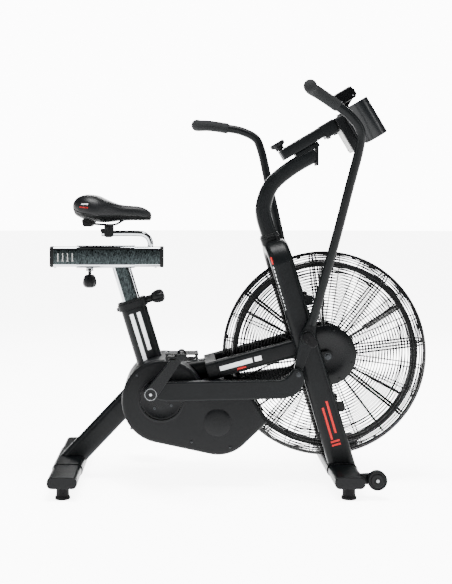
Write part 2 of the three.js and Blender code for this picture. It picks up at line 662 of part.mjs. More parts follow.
const TILT_AXIS = new THREE.Vector2(-450, 862);

function saddleClamp() {
  const body = plate(hullOutline([[-450, 838, 10], [-438, 838, 10], [-438, 863, 10], [-450, 863, 10]]), -16, 16);
  const tail = box(-472, -450, -9, 9, 846, 858);
  const bolt = rod(4, -29, 29, TILT_AXIS.x, TILT_AXIS.y, 12);
  const bore = new THREE.CylinderGeometry(10.6, 10.6, 60, 16).rotateZ(Math.PI / 2).translate(-450, 0, 841);
  return cut(join(body, tail, bolt), bore);
}

function saddleRails() {
  const wire = (side) => {
    const points = [
      [-520, 878, 28], [-480, 873, 23], [-440, 871, 22], [-418, 873, 21], [-398, 883, 19], [-386, 888, 17],
    ];
    const curve = new THREE.CatmullRomCurve3(
      points.map(([x, z, y]) => new THREE.Vector3(x, side * y, z)), false, 'centripetal');
    return sweep(curve, circleShape(3.5), 8, 3);
  };
  const eye = (side) => rod(9, ...sideSpan(side, 17, 27), TILT_AXIS.x, TILT_AXIS.y, 12);
  const bumper = plate(roundedRect(46, 20, 6, -515, 876), -34, 34, 1);
  const nose = box(-394, -376, -22, 22, 884, 891.5);
  const whole = join(wire(-1), wire(1), eye(-1), eye(1), bumper, nose);
  return cut(whole, rod(4.5, -40, 40, TILT_AXIS.x, TILT_AXIS.y, 12));
}

// Saddle stations from tail to nose: x, half width, top, widest level, underside.
const SADDLE_STATIONS = [
  [-562, 24, 951, 936, 916], [-550, 62, 965, 930, 904], [-525, 88, 973, 926, 895], [-495, 96, 972, 924, 892],
  [-462, 84, 962, 920, 890], [-430, 60, 950, 916, 891], [-400, 42, 941, 914, 893], [-370, 33, 937, 912, 894],
  [-335, 28, 932, 910, 893], [-308, 22, 920, 907, 893], [-298, 14, 912, 905, 896],
];

function saddle() {
  const sides = 14;
  const positions = [];
  for (const [x, half, top, middle, bottom] of SADDLE_STATIONS) {
    for (let i = 0; i < sides; i++) {
      const angle = (i / sides) * 2 * Math.PI;
      const rise = Math.sin(angle);
      const z = middle + rise * (rise > 0 ? top - middle : middle - bottom);
      positions.push(x, -half * Math.cos(angle), z);
    }
  }
  const last = SADDLE_STATIONS.length - 1;
  for (const station of [SADDLE_STATIONS[0], SADDLE_STATIONS[last]]) positions.push(station[0], 0, station[3]);
  const indices = [];
  const tail = SADDLE_STATIONS.length * sides;
  for (let i = 0; i < sides; i++) {
    const next = (i + 1) % sides;
    for (let s = 0; s < last; s++) {
      const a = s * sides + i;
      const b = s * sides + next;
      indices.push(a, a + sides, b, b, a + sides, b + sides);
    }
    indices.push(tail, i, next);
    indices.push(tail + 1, last * sides + next, last * sides + i);
  }
  const geometry = new THREE.BufferGeometry();
  geometry.setAttribute('position', new THREE.Float32BufferAttribute(positions, 3));
  geometry.setIndex(indices);
  geometry.computeVertexNormals();
  return geometry;
}

// ---------------------------------------------------------------- console
const boomDirection = at3(BOOM_U);
const readerDirection = at3(BOOM_V).negate();
const KNOB_U = -215;

function boomPoint(u, v, y = 0) {
  return at3(onBoom(u, v), y);
}

// Block lying along the boom: u0..u1 along it, v0..v1 below its centreline.
function boomBlock(u0, u1, v0, v1, y0, y1, corner = 3) {
  const middle = (v0 + v1) / 2;
  return tube(onBoom(u0, middle), onBoom(u1, middle),
    { width: v1 - v0, thickness: y1 - y0, corner }, (y0 + y1) / 2);
}

function consoleBoom() {
  const half = BOOM.height / 2;
  const bar = boomBlock(BOOM.rear, BOOM.front, -half, half, -BOOM.width / 2, BOOM.width / 2, BOOM.corner);
  const clamp = boomBlock(-62, -12, half - 2, half + 10, -20, 20);
  const screwHole = turned([[0, -30], [6.5, -30], [6.5, 10], [0, 10]],
    boomPoint(KNOB_U, -half), readerDirection, 16);
  return cut(join(bar, clamp), cut(screwHole, boomBlock(-260, -180, -half + 10, half + 40, -40, 40)));
}

function boomKnob() {
  const profile = [[0, -8], [6, -8], [6, 14], [18, 15], [26.5, 20], [26.5, 26], [20, 29], [0, 30]];
  return turned(profile, boomPoint(KNOB_U, -BOOM.height / 2), readerDirection, 16);
}

function consoleHousing() {
  const slab = boomBlock(-7.5, 28.5, -18.5, 114, -52, 52, 9);
  const cupBracket = boomBlock(20, 56, 8, 84, -72, -38);
  const cupClearance = turned([[0, -60], [CUP.radius + 0.4, -60], [CUP.radius + 0.4, 160], [0, 160]],
    boomPoint(CUP.u, CUP.bottom, CUP.y), readerDirection, 20);
  const arm = boomBlock(20, 70, -24, -6, 20, 56);
  const hinge = onBoom(POD_HINGE.u, POD_HINGE.v);
  const foot = onBoom(POD_HINGE.u, -15);
  const lug = (y0, y1) => plate(hullOutline([[hinge.x, hinge.y, 8], [foot.x, foot.y, 8]]), y0, y1);
  const pin = rod(4, POD_HINGE.y - 16, POD_HINGE.y + 16, hinge.x, hinge.y, 12);
  return join(slab, cut(cupBracket, cupClearance), arm, lug(20, 27), lug(49, 56), pin);
}

function bottleHolder() {
  const { radius, wall, top, bottom } = CUP;
  const height = bottom - top;
  const profile = [
    [0, 0], [radius - 4, 0], [radius, 4], [radius, height], [radius - wall, height], [radius - wall, 6], [0, 6],
  ];
  return turned(profile, boomPoint(CUP.u, bottom, CUP.y), readerDirection, 20);
}

const POD_TOP = -86;
const POD_OUTLINE = [[38, POD_TOP], [102, POD_TOP], [109, -72], [109, -55], [100, -45], [44, -45], [36, -62]];
const POD_Y = [-12, 92];
const BUTTON = { u: 78, y: 80, radius: 6, travel: 1.5 };

function displayPod() {
  const shape = new THREE.Shape(POD_OUTLINE.map(([u, v]) => onBoom(u, v)));
  const body = plate(shape, ...POD_Y);
  const hinge = onBoom(POD_HINGE.u, POD_HINGE.v);
  const roots = [[88, -50], [POD_HINGE.u, -56]].map(([u, v]) => onBoom(u, v));
  const knuckle = plate(hullOutline([[hinge.x, hinge.y, 8], ...roots.map(({ x, y }) => [x, y, 8])]), 27.6, 48.4);
  const pocket = turned([[0, -6], [6.5, -6], [6.5, 5], [0, 5]],
    boomPoint(BUTTON.u, POD_TOP, BUTTON.y), readerDirection, 12);
  return cut(join(body, knuckle), rod(4.5, 20, 56, hinge.x, hinge.y, 12), pocket);
}

function displayButton() {
  return turned([[0, -3.5], [BUTTON.radius, -3.5], [BUTTON.radius, 1.5], [5, 2.4], [0, 2.4]],
    boomPoint(BUTTON.u, POD_TOP, BUTTON.y), readerDirection, 12);
}

// ---------------------------------------------------------------- assembly
const bike = new THREE.Group();
bike.name = 'air_bike';

function add(name, geometry, look) {
  const mesh = new THREE.Mesh(geometry, new THREE.MeshStandardMaterial(look));
  mesh.name = name;
  bike.add(mesh);
}

const SIDES = [['right', -1], ['left', 1]];

add('rear_stabilizer', stabilizer(REAR_X), FINISH.powder);
add('front_stabilizer', frontStabilizer(), FINISH.powder);
add('rear_leg', rearLeg(), FINISH.powder);
add('seat_tube', seatTube(), FINISH.powder);
add('bottom_bracket_shell', bottomBracketShell(), FINISH.steel);
add('main_tube', mainTube(), FINISH.powder);
add('fork_crown', forkCrown(), FINISH.powder);
add('console_mast', consoleMast(), FINISH.powder);

const coverWithPort = coverShell(COVER.port);
const coverWithBore = coverShell(SPINDLE + 4);
add('right_belt_cover', mirrored(coverWithPort), FINISH.plastic);
add('left_belt_cover', coverWithBore, FINISH.plastic);
add('crank_port_plate', portPlate(), FINISH.plastic);

const guardHalf = leftGuard();
add('right_guard', mirrored(guardHalf), FINISH.powder);
add('left_guard', cut(guardHalf, beltWindow()), FINISH.powder);
add('fan_axle', fanAxle(), FINISH.steel);
add('fan_wheel', fanWheel(), FINISH.powder);
add('fan_pulley', pulley(FAN_PULLEY, 8.5, FAN_BELT_Y, FAN_CENTRE, 12, 40), FINISH.steel);
add('fan_belt', belt(JACKSHAFT, FAN_DRIVE_PULLEY, FAN_CENTRE, FAN_PULLEY, FAN_BELT_Y, 11), FINISH.rubber);
add('fan_drive_pulley', pulley(FAN_DRIVE_PULLEY, 8.3, FAN_BELT_Y, JACKSHAFT), FINISH.aluminium);
add('jackshaft', jackshaft(), FINISH.steel);
add('drive_belt', belt(BOTTOM_BRACKET, DRIVE_PULLEY, JACKSHAFT, JACK_PULLEY, DRIVE_Y, 11), FINISH.rubber);
add('drive_pulley', pulley(DRIVE_PULLEY, SPINDLE + GAP, DRIVE_Y, BOTTOM_BRACKET), FINISH.aluminium);
add('crankshaft', crankshaft(), FINISH.steel);

for (const [name, side] of SIDES) {
  add(`${name}_rail`, rail(side), FINISH.powder);
  add(`${name}_fork_leg`, forkLeg(side), FINISH.powder);
  add(`rear_${name}_foot`, foot(REAR_X, side * FOOT_Y), FINISH.rubber);
  add(`front_${name}_foot`, foot(FRONT_X, side * FOOT_Y), FINISH.rubber);
  add(`${name}_transport_wheel`, transportWheel(side), FINISH.plastic);
  add(`${name}_foot_peg`, footPeg(side), FINISH.powder);
  add(`${name}_crank_arm`, crankArm(side), FINISH.powder);
  add(`${name}_pedal`, pedal(side), FINISH.plastic);
  add(`${name}_push_rod`, pushRod(side), FINISH.powder);
}

add('right_handle_arm', rightHandleArm(), FINISH.powder);
add('left_handle_arm', toLeft(rightHandleArm()), FINISH.powder);
add('right_grip', rightGrip(), FINISH.foam);
add('left_grip', toLeft(rightGrip()), FINISH.foam);

add('seat_tube_collar', seatTubeCollar(), FINISH.plastic);
add('seat_height_knob', knob(36, at3(onSeat(HEIGHT_KNOB_UP + 7, 68.5)), at3(SEAT_FRONT)), FINISH.plastic);
add('seat_post', seatPost(), FINISH.chrome);
add('seat_slide_knob', knob(26.4, new THREE.Vector3(SLIDE_KNOB_X, 0, 699), new THREE.Vector3(0, 0, -1)),
  FINISH.plastic);
add('seat_slider', seatSlider(), FINISH.chrome);
add('saddle_post', saddlePost(), FINISH.chrome);
add('saddle_clamp', saddleClamp(), FINISH.powder);
add('saddle_rails', saddleRails(), FINISH.powder);
add('saddle', saddle(), FINISH.vinyl);

add('console_boom', consoleBoom(), FINISH.powder);
add('boom_knob', boomKnob(), FINISH.plastic);
add('console_housing', consoleHousing(), FINISH.plastic);
add('bottle_holder', bottleHolder(), FINISH.plastic);
add('display_pod', displayPod(), FINISH.gloss);
add('display_button', displayButton(), FINISH.rubber);

export default bike;
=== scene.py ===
"""Looks of the air bike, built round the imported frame.

Pieces are drawn in millimetres in the frame's own axes: +X towards the fan, +Y to the rider's left, +Z up.
They are scaled to metres when a piece is made. Camera, lights and floor are in metres.
"""
import math

import bmesh
import bpy
from mathutils import Matrix, Vector


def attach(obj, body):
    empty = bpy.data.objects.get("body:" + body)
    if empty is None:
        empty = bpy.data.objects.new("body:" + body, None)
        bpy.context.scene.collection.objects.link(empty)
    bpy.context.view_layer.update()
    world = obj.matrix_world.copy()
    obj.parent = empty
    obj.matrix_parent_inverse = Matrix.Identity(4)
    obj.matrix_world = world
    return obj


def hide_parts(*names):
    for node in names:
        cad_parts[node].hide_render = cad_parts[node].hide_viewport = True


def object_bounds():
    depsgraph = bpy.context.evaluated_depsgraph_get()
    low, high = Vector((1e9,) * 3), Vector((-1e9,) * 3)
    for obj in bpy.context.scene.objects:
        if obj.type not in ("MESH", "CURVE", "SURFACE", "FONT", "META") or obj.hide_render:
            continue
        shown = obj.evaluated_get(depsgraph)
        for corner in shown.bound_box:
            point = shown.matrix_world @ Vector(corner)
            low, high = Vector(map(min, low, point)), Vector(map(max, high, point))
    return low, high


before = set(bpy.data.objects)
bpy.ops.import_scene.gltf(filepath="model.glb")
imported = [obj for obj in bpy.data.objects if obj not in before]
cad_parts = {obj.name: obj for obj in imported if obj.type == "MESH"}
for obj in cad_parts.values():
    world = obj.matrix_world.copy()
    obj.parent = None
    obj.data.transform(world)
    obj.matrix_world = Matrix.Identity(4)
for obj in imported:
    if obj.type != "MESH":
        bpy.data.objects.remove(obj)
CAD_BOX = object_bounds()

MM = 0.001
TAU = 2 * math.pi


# ---------------------------------------------------------------- camera, lights and floor
CAMERA_PLACE = (-0.199, -3.6, 0.929)
LENS = 64.3
SHIFT = (0.0788, -0.1438)
AMBIENT = 0.15
CEILING = 1.6
WHITE_OUT = 12.0
DIM_STUDIO = 0.12
FLOOR_RADIUS = 40
FLOOR_GAP = 0.0003


def make_camera():
    """Level, and square to the right side."""
    data = bpy.data.cameras.new("camera")
    data.sensor_width = 36
    data.lens = LENS
    data.shift_x, data.shift_y = SHIFT
    camera = bpy.data.objects.new("camera", data)
    camera.location = CAMERA_PLACE
    camera.rotation_euler = (math.radians(90), 0, 0)
    bpy.context.scene.collection.objects.link(camera)
    bpy.context.scene.camera = camera


def area_light(name, place, target, width, height, power):
    data = bpy.data.lights.new(name, "AREA")
    data.shape = "RECTANGLE"
    data.size = width
    data.size_y = height
    data.energy = power
    light = bpy.data.objects.new(name, data)
    light.location = place
    light.rotation_euler = (Vector(target) - Vector(place)).to_track_quat("-Z", "Y").to_euler()
    bpy.context.scene.collection.objects.link(light)


def fill(node, **values):
    """Sets sockets by name, with an underscore for each space."""
    for name, value in values.items():
        node.inputs[name.replace("_", " ")].default_value = value


def make_world():
    """White to the eye; the object sees a bright ceiling, a dim front and a pale floor."""
    world = bpy.data.worlds.new("studio")
    world.use_nodes = True
    nodes = world.node_tree.nodes
    links = world.node_tree.links
    background = nodes["Background"]
    place = nodes.new("ShaderNodeTexCoord")
    split = nodes.new("ShaderNodeSeparateXYZ")
    links.new(place.outputs["Generated"], split.inputs["Vector"])
    height = nodes.new("ShaderNodeMapRange")
    height.interpolation_type = "SMOOTHSTEP"
    fill(height, From_Min=0.05, From_Max=0.85, To_Min=AMBIENT, To_Max=CEILING)
    links.new(split.outputs["Z"], height.inputs["Value"])
    seen = nodes.new("ShaderNodeLightPath")
    strength = height.outputs["Result"]
    for kind, value in (("Is Glossy Ray", DIM_STUDIO), ("Is Camera Ray", WHITE_OUT)):
        choose = nodes.new("ShaderNodeMix")
        choose.data_type = "FLOAT"
        fill(choose, B=value)
        links.new(seen.outputs[kind], choose.inputs["Factor"])
        links.new(strength, choose.inputs["A"])
        strength = choose.outputs["Result"]
    links.new(strength, background.inputs["Strength"])
    fill(background, Color=(1, 1, 1, 1))
    bpy.context.scene.world = world


def make_studio():
    make_world()
    centre = (0, 0, 0.6)
    area_light("top_light", (-0.2, -0.4, 3.6), centre, 2.2, 1.0, 420)
    area_light("left_light", (-3.2, -1.6, 1.8), centre, 0.5, 2.6, 90)
    area_light("right_light", (3.2, -1.2, 1.6), centre, 0.5, 2.6, 90)
    area_light("back_light", (0.4, 3.4, 2.4), centre, 3.0, 0.8, 150)
    bm = bmesh.new()
    bm.faces.new([bm.verts.new((x, y, 0)) for x, y in circle(FLOOR_RADIUS, 96)])
    mesh = bpy.data.meshes.new("floor")
    bm.to_mesh(mesh)
    bm.free()
    mesh.materials.append(FLOOR)
    floor = bpy.data.objects.new("floor", mesh)
    floor.location.z = CAD_BOX[0].z - FLOOR_GAP
    bpy.context.scene.collection.objects.link(floor)


# ---------------------------------------------------------------- materials
def surface(name, colour, roughness, metallic=0.0, spread=0.25, cloud=30, rough_spread=0.08,
            grain=0, grain_depth=0.0, cells=False, coat=0.0, stretch=(1, 1, 1), shine=0.3):
    """One procedural finish: broad colour clouds, roughness that varies, and a fine grain as bump."""
    material = bpy.data.materials.new(name)
    material.use_nodes = True
    nodes = material.node_tree.nodes
    links = material.node_tree.links
    shader = nodes["Principled BSDF"]
    fill(shader, Metallic=metallic, Coat_Weight=coat, Coat_Roughness=0.08, Specular_IOR_Level=shine)
    place = nodes.new("ShaderNodeTexCoord")
    mapping = nodes.new("ShaderNodeMapping")
    fill(mapping, Scale=stretch)
    links.new(place.outputs["Object"], mapping.inputs["Vector"])

    clouds = nodes.new("ShaderNodeTexNoise")
    fill(clouds, Scale=cloud, Detail=5)
    links.new(mapping.outputs["Vector"], clouds.inputs["Vector"])
    ramp = nodes.new("ShaderNodeValToRGB")
    for stop, position, share in zip(ramp.color_ramp.elements, (0.3, 0.7), (1 - spread, 1 + spread)):
        stop.position = position
        stop.color = (*[min(1, c * share) for c in colour], 1)
    links.new(clouds.outputs["Fac"], ramp.inputs["Fac"])
    links.new(ramp.outputs["Color"], shader.inputs["Base Color"])

    wear = nodes.new("ShaderNodeMapRange")
    fill(wear, To_Min=max(0.02, roughness - rough_spread), To_Max=min(1.0, roughness + rough_spread))
    links.new(clouds.outputs["Fac"], wear.inputs["Value"])
    links.new(wear.outputs["Result"], shader.inputs["Roughness"])

    if grain:
        fine = nodes.new("ShaderNodeTexVoronoi" if cells else "ShaderNodeTexNoise")
        fill(fine, Scale=grain)
        links.new(mapping.outputs["Vector"], fine.inputs["Vector"])
        bump = nodes.new("ShaderNodeBump")
        fill(bump, Strength=0.6, Distance=grain_depth)
        links.new(fine.outputs["Distance" if cells else "Fac"], bump.inputs["Height"])
        links.new(bump.outputs["Normal"], shader.inputs["Normal"])
    return material


POWDER = surface("powder_black", (0.0017, 0.0020, 0.0022), 0.34, grain=900, grain_depth=0.0003, spread=0.2,
                 shine=0.05)
SATIN = surface("satin_black", (0.0014, 0.0016, 0.0018), 0.28, grain=700, grain_depth=0.0002, spread=0.15,
                shine=0.06)
CUP = surface("cup_black", (0.0020, 0.0024, 0.0028), 0.30, cloud=12, spread=0.04, rough_spread=0.02,
              shine=0.12)
CHROME = surface("chrome", (0.26, 0.27, 0.28), 0.10, metallic=1, cloud=60, spread=0.05, rough_spread=0.05)
# Painted reflection: dark mottled chrome for the flat flanks, standing in for the dark studio such faces
# would mirror.
CHROME_PAINTED_REFLECTION = surface("chrome_painted_reflection", (0.0125, 0.0155, 0.0160), 0.25, metallic=1, cloud=330, spread=0.92,
                      rough_spread=0.15, grain=500, grain_depth=0.0006, stretch=(1, 1, 0.35))
STEEL = surface("zinc_steel", (0.16, 0.165, 0.17), 0.34, metallic=1, cloud=120, spread=0.12, grain=1500,
                grain_depth=0.0001)
BOLT = surface("black_bolt", (0.012, 0.013, 0.014), 0.32, metallic=0.9, cloud=200, spread=0.3)
ALUMINIUM = surface("cast_aluminium", (0.07, 0.07, 0.072), 0.42, metallic=1, cloud=90, spread=0.1,
                    grain=1100, grain_depth=0.0003)
PLASTIC = surface("moulded_black", (0.0013, 0.0015, 0.0017), 0.42, grain=1400, grain_depth=0.0003,
                  spread=0.15, shine=0.06)
GLOSS = surface("gloss_black", (0.0010, 0.0011, 0.0012), 0.20, coat=0.08, spread=0.1, shine=0.08)
RUBBER = surface("rubber_black", (0.0020, 0.0020, 0.0022), 0.68, grain=1100, grain_depth=0.0006, spread=0.3,
                 shine=0.05)
FOAM = surface("foam_black", (0.0034, 0.0038, 0.0040), 0.80, cells=True, grain=900, grain_depth=0.0004,
               spread=0.2, shine=0.1)
VINYL = surface("saddle_vinyl", (0.0020, 0.0022, 0.0025), 0.38, cells=True, grain=620, grain_depth=0.0004,
                spread=0.2, shine=0.10)
GREY = surface("grey_panel", (0.15, 0.15, 0.147), 0.5, grain=1300, grain_depth=0.0002, spread=0.06)
SMOKE = surface("smoke_grey", (0.006, 0.0065, 0.007), 0.5, grain=1300, grain_depth=0.0002, spread=0.1,
                shine=0.1)
WHITE_PRINT = surface("white_print", (0.50, 0.51, 0.52), 0.4, grain=900, grain_depth=0.0002, spread=0.05)
RED_PRINT = surface("red_print", (0.26, 0.008, 0.008), 0.4, grain=900, grain_depth=0.0002, spread=0.1,
                    shine=0.05)
GLASS = surface("display_glass", (0.030, 0.034, 0.030), 0.12, coat=0.3, spread=0.1)
SEGMENTS = surface("display_digits", (0.003, 0.004, 0.003), 0.3, spread=0.2, shine=0.1)
FLOOR = surface("floor", (0.86, 0.86, 0.86), 0.9, spread=0.01, cloud=3, shine=0.0)
fill(FLOOR.node_tree.nodes["Principled BSDF"], Emission_Color=(1, 1, 1, 1), Emission_Strength=7.0)


# ---------------------------------------------------------------- outlines (x, z) in millimetres
def circle(radius, sides=48, x=0.0, z=0.0):
    return [(x + radius * math.cos(TAU * i / sides), z + radius * math.sin(TAU * i / sides))
            for i in range(sides)]


def rounded(width, height, corner, x=0.0, z=0.0, steps=6):
    points = []
    for quarter, (sx, sz) in enumerate([(1, 1), (-1, 1), (-1, -1), (1, -1)]):
        cx = x + sx * (width / 2 - corner)
        cz = z + sz * (height / 2 - corner)
        for i in range(steps + 1):
            angle = (quarter + i / steps) * math.pi / 2
            points.append((cx + corner * math.cos(angle), cz + corner * math.sin(angle)))
    return points


def crossing(first, last, grow):
    """Angles, on two overlapping circles, of the point where they cross on the upper side."""
    along = math.atan2(last[1] - first[1], last[0] - first[0])
    apart = math.hypot(last[0] - first[0], last[1] - first[1])
    r, q = first[2] + grow, last[2] + grow
    share = (r * r - q * q + apart * apart) / (2 * apart)
    return along + math.acos(share / r), along + math.pi - math.acos((apart - share) / q)


def hull(circles, grow=0.0, step=6, notched=False):
    """Outline round a chain of circles (x, z, radius), given anticlockwise.

    A notched chain isn't bridged from its last circle to its first, which overlap.
    """
    exits = []
    for i, (x, z, r) in enumerate(circles):
        nx, nz, nr = circles[(i + 1) % len(circles)]
        exits.append(math.atan2(nz - z, nx - x) - math.acos((r - nr) / math.hypot(nx - x, nz - z)))
    points = []
    for i, (x, z, r) in enumerate(circles):
        start, end = exits[i - 1], exits[i]
        if notched and i == 0:
            start = crossing(circles[0], circles[-1], grow)[0]
        if notched and i == len(circles) - 1:
            end = crossing(circles[0], circles[-1], grow)[1]
        turn = (end - start) % TAU
        steps = max(1, math.ceil(turn / math.radians(step)))
        for k in range(steps + 1):
            angle = start + turn * k / steps
            points.append((x + (r + grow) * math.cos(angle), z + (r + grow) * math.sin(angle)))
    return points


def spline(points, per=10):
    """Centripetal curve through the points."""
    held = [Vector(p) for p in points]
    held = [2 * held[0] - held[1], *held, 2 * held[-1] - held[-2]]
    out = []
    for i in range(1, len(held) - 2):
        p0, p1, p2, p3 = held[i - 1:i + 3]
        t1 = (p1 - p0).length ** 0.5
        t2 = t1 + (p2 - p1).length ** 0.5
        t3 = t2 + (p3 - p2).length ** 0.5
        for k in range(per):
            t = t1 + (t2 - t1) * k / per
            a1 = p0.lerp(p1, t / t1)
            a2 = p1.lerp(p2, (t - t1) / (t2 - t1))
            a3 = p2.lerp(p3, (t - t2) / (t3 - t2))
            b1 = a1.lerp(a2, t / t2)
            b2 = a2.lerp(a3, (t - t1) / (t3 - t1))
            out.append(b1.lerp(b2, (t - t1) / (t2 - t1)))
    out.append(held[-2])
    return out


def spaced(path, count, start=0.0, end=1.0):
    """Points at even distances along part of a path."""
    lengths = [0.0]
    for a, b in zip(path, path[1:]):
        lengths.append(lengths[-1] + (b - a).length)
    out = []
    for k in range(count + 1):
        wanted = lengths[-1] * (start + (end - start) * k / count)
        i = next(i for i in range(1, len(path)) if lengths[i] >= wanted - 1e-9)
        share = (wanted - lengths[i - 1]) / (lengths[i] - lengths[i - 1])
        out.append(path[i - 1].lerp(path[i], share))
    return out


# ---------------------------------------------------------------- solids
def skin(bm, rings, closed=False):
    """Joins rings of vertices with faces; a ring of one vertex is a point."""
    pairs = list(zip(rings, rings[1:]))
    if closed:
        pairs.append((rings[-1], rings[0]))
    for a, b in pairs:
        count = max(len(a), len(b))
        for i in range(count):
            j = (i + 1) % count
            corners = []
            for vert in (a[i % len(a)], a[j % len(a)], b[j % len(b)], b[i % len(b)]):
                if vert not in corners:
                    corners.append(vert)
            if len(corners) > 2:
                bm.faces.new(corners)


def extrude(bm, outline, y0, y1, holes=()):
    """Solid between two planes across Y, from an outline in the XZ plane."""
    loops = [outline, *holes]
    ends = [[[bm.verts.new((x, y, z)) for x, z in loop] for loop in loops] for y in (y0, y1)]
    for low, high in zip(*ends):
        skin(bm, [low, high])
    for end in ends:
        if not holes:
            bm.faces.new(end[0])
            continue
        edges = [bm.edges.get((ring[i - 1], ring[i])) for ring in end for i in range(len(ring))]
        bmesh.ops.triangle_fill(bm, edges=edges, use_beauty=True)


def domed_slab(bm, outline, y0, y1, radius, steps=6):
    """Solid between two planes across Y whose far edge is rounded over."""
    count = len(outline)
    inward = []
    for i in range(count):
        way = Vector(outline[(i + 1) % count]) - Vector(outline[i - 1])
        inward.append(Vector((-way.y, way.x)).normalized())
    stages = [(y0, 0.0)]
    for i in range(steps + 1):
        angle = math.pi / 2 * i / steps
        stages.append((y1 - radius + radius * math.sin(angle), radius * (1 - math.cos(angle))))
    rings = []
    for y, inset in stages:
        moved = [Vector(p) + n * inset for p, n in zip(outline, inward)]
        rings.append([bm.verts.new((p.x, y, p.y)) for p in moved])
    skin(bm, rings)
    bm.faces.new(rings[0])
    bm.faces.new(rings[-1])


def lathe(bm, profile, origin, axis, sides=48, closed=False, lobes=0, depth=0.0):
    """Turned solid; profile is (radius, height) pairs, and lobes press hollows into the wide part."""
    turn = Vector((0, 0, 1)).rotation_difference(Vector(axis)).to_matrix()
    widest = max(radius for radius, _ in profile)
    rings = []
    for radius, height in profile:
        if radius == 0:
            rings.append([bm.verts.new(Vector(origin) + turn @ Vector((0, 0, height)))])
            continue
        ring = []
        for k in range(sides):
            angle = TAU * k / sides
            r = radius
            if lobes:
                r -= depth * (radius / widest) ** 3 * (0.5 + 0.5 * math.cos(lobes * angle)) ** 2
            spot = Vector((r * math.cos(angle), r * math.sin(angle), height))
            ring.append(bm.verts.new(Vector(origin) + turn @ spot))
        rings.append(ring)
    skin(bm, rings, closed)


def rod(bm, radius, y0, y1, x, z, sides=40):
    lathe(bm, [(0, y0), (radius, y0), (radius, y1), (0, y1)], (x, 0, z), (0, 1, 0), sides)


def sweep(bm, path, section, lateral=None, scales=None, closed=False):
    """Section (across, sideways) carried along a path; with no lateral direction it doesn't twist."""
    count = len(path)
    rings = []
    side = None
    for i, point in enumerate(path):
        before = path[i - 1] if closed or i else path[0]
        after = path[(i + 1) % count] if closed or i + 1 < count else path[-1]
        tangent = (after - before).normalized()
        if lateral is not None:
            side = Vector(lateral)
        elif side is None:
            side = tangent.cross(Vector((0.31, 0.87, 0.4))).normalized()
        else:
            side = (side - tangent * side.dot(tangent)).normalized()
        across = side.cross(tangent).normalized()
        scale = scales[i] if scales else 1.0
        if scale == 0:
            rings.append([bm.verts.new(point)])
            continue
        if not isinstance(scale, tuple):
            scale = (scale, scale)
        rings.append([bm.verts.new(point + across * a * scale[0] + side * b * scale[1])
                      for a, b in section])
    skin(bm, rings, closed)
    if not closed:
        for ring in (rings[0], rings[-1]):
            if len(ring) > 2:
                bm.faces.new(ring)


def tube(bm, start, end, width, thickness, corner, y=0.0, end_width=None, steps=6):
    """Straight tube in the XZ plane; width is measured in that plane, thickness along Y."""
    path = [Vector((start[0], y, start[1])), Vector((end[0], y, end[1]))]
    scales = [(1, 1), ((end_width or width) / width, 1)]
    sweep(bm, path, rounded(width, thickness, corner, steps=steps), (0, 1, 0), scales)


def round_tube(bm, path, radius, sides=24, ends=False):
    """Round tube along a path; ends=True closes both ends with domes."""
    if not ends:
        sweep(bm, path, circle(radius, sides))
        return
    first = (path[0] - path[1]).normalized()
    last = (path[-1] - path[-2]).normalized()
    steps = 6
    head = []
    tail = []
    for i in range(steps):
        angle = math.pi / 2 * i / steps
        head.append((path[0] + first * radius * math.cos(angle), math.sin(angle)))
        tail.append((path[-1] + last * radius * math.sin(math.pi / 2 - angle), math.sin(angle)))
    whole = head + [(p, 1.0) for p in path] + tail[::-1]
    whole[0] = (whole[0][0], 0)
    whole[-1] = (whole[-1][0], 0)
    sweep(bm, [p for p, _ in whole], circle(radius, sides), scales=[s for _, s in whole])


def screw(bm, place, axis, radius=5.0, height=3.0):
    """Button-head screw with a hexagon socket."""
    profile = [(radius, -0.6), (radius, height * 0.35), (radius * 0.86, height * 0.8),
               (radius * 0.6, height)]
    lathe(bm, [(0, -0.6), *profile, (0, height)], place, axis, 24)
    socket = [(0, height - 0.1), (radius * 0.42, height - 0.1), (radius * 0.42, height + 0.12),
              (0, height + 0.12)]
    lathe(bm, socket, place, axis, 6)


def hex_bolt(bm, place, axis, radius=8.0, height=5.0):
    """Hexagon head on a washer."""
    washer = radius * 1.35
    lathe(bm, [(0, -0.5), (washer, -0.5), (washer, 1.2), (0, 1.2)], place, axis, 28)
    top = height + 0.8
    lathe(bm, [(0, 1), (radius, 1), (radius, height), (radius * 0.8, top), (0, top)], place, axis, 6)


def mirror(bm):
    bmesh.ops.scale(bm, vec=(1, -1, 1), verts=bm.verts)


def turn_about(bm, pivot, degrees):
    """Turns everything in the XZ plane, positive towards the rider."""
    centre = Vector((pivot[0], 0, pivot[1]))
    bmesh.ops.rotate(bm, cent=centre, matrix=Matrix.Rotation(math.radians(-degrees), 3, "Y"),
                     verts=bm.verts)


def piece(name, body, slot, material, bm, bevel=0.0, segments=3, replaces=(), limit=32):
    """Turns the drawn solid into a piece that rides on a body."""
    bmesh.ops.recalc_face_normals(bm, faces=bm.faces)
    bmesh.ops.scale(bm, vec=(MM, MM, MM), verts=bm.verts)
    mesh = bpy.data.meshes.new(name)
    bm.to_mesh(mesh)
    bm.free()
    mesh.polygons.foreach_set("use_smooth", [True] * len(mesh.polygons))
    obj = bpy.data.objects.new(name, mesh)
    bpy.context.scene.collection.objects.link(obj)
    if bevel:
        modifier = obj.modifiers.new("edges", "BEVEL")
        modifier.width = bevel * MM
        modifier.segments = segments
        modifier.limit_method = "ANGLE"
        modifier.angle_limit = math.radians(limit)
        modifier.harden_normals = True
    else:
        mesh.set_sharp_from_angle(angle=math.radians(limit))
    mesh.materials.append(material)
    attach(obj, body)
    if replaces:
        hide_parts(*replaces)
    return obj


def stand_in(name, *drawn, **finish):
    """A piece that takes the place of the frame's node of the same name."""
    return piece(name, *drawn, replaces=[name], **finish)


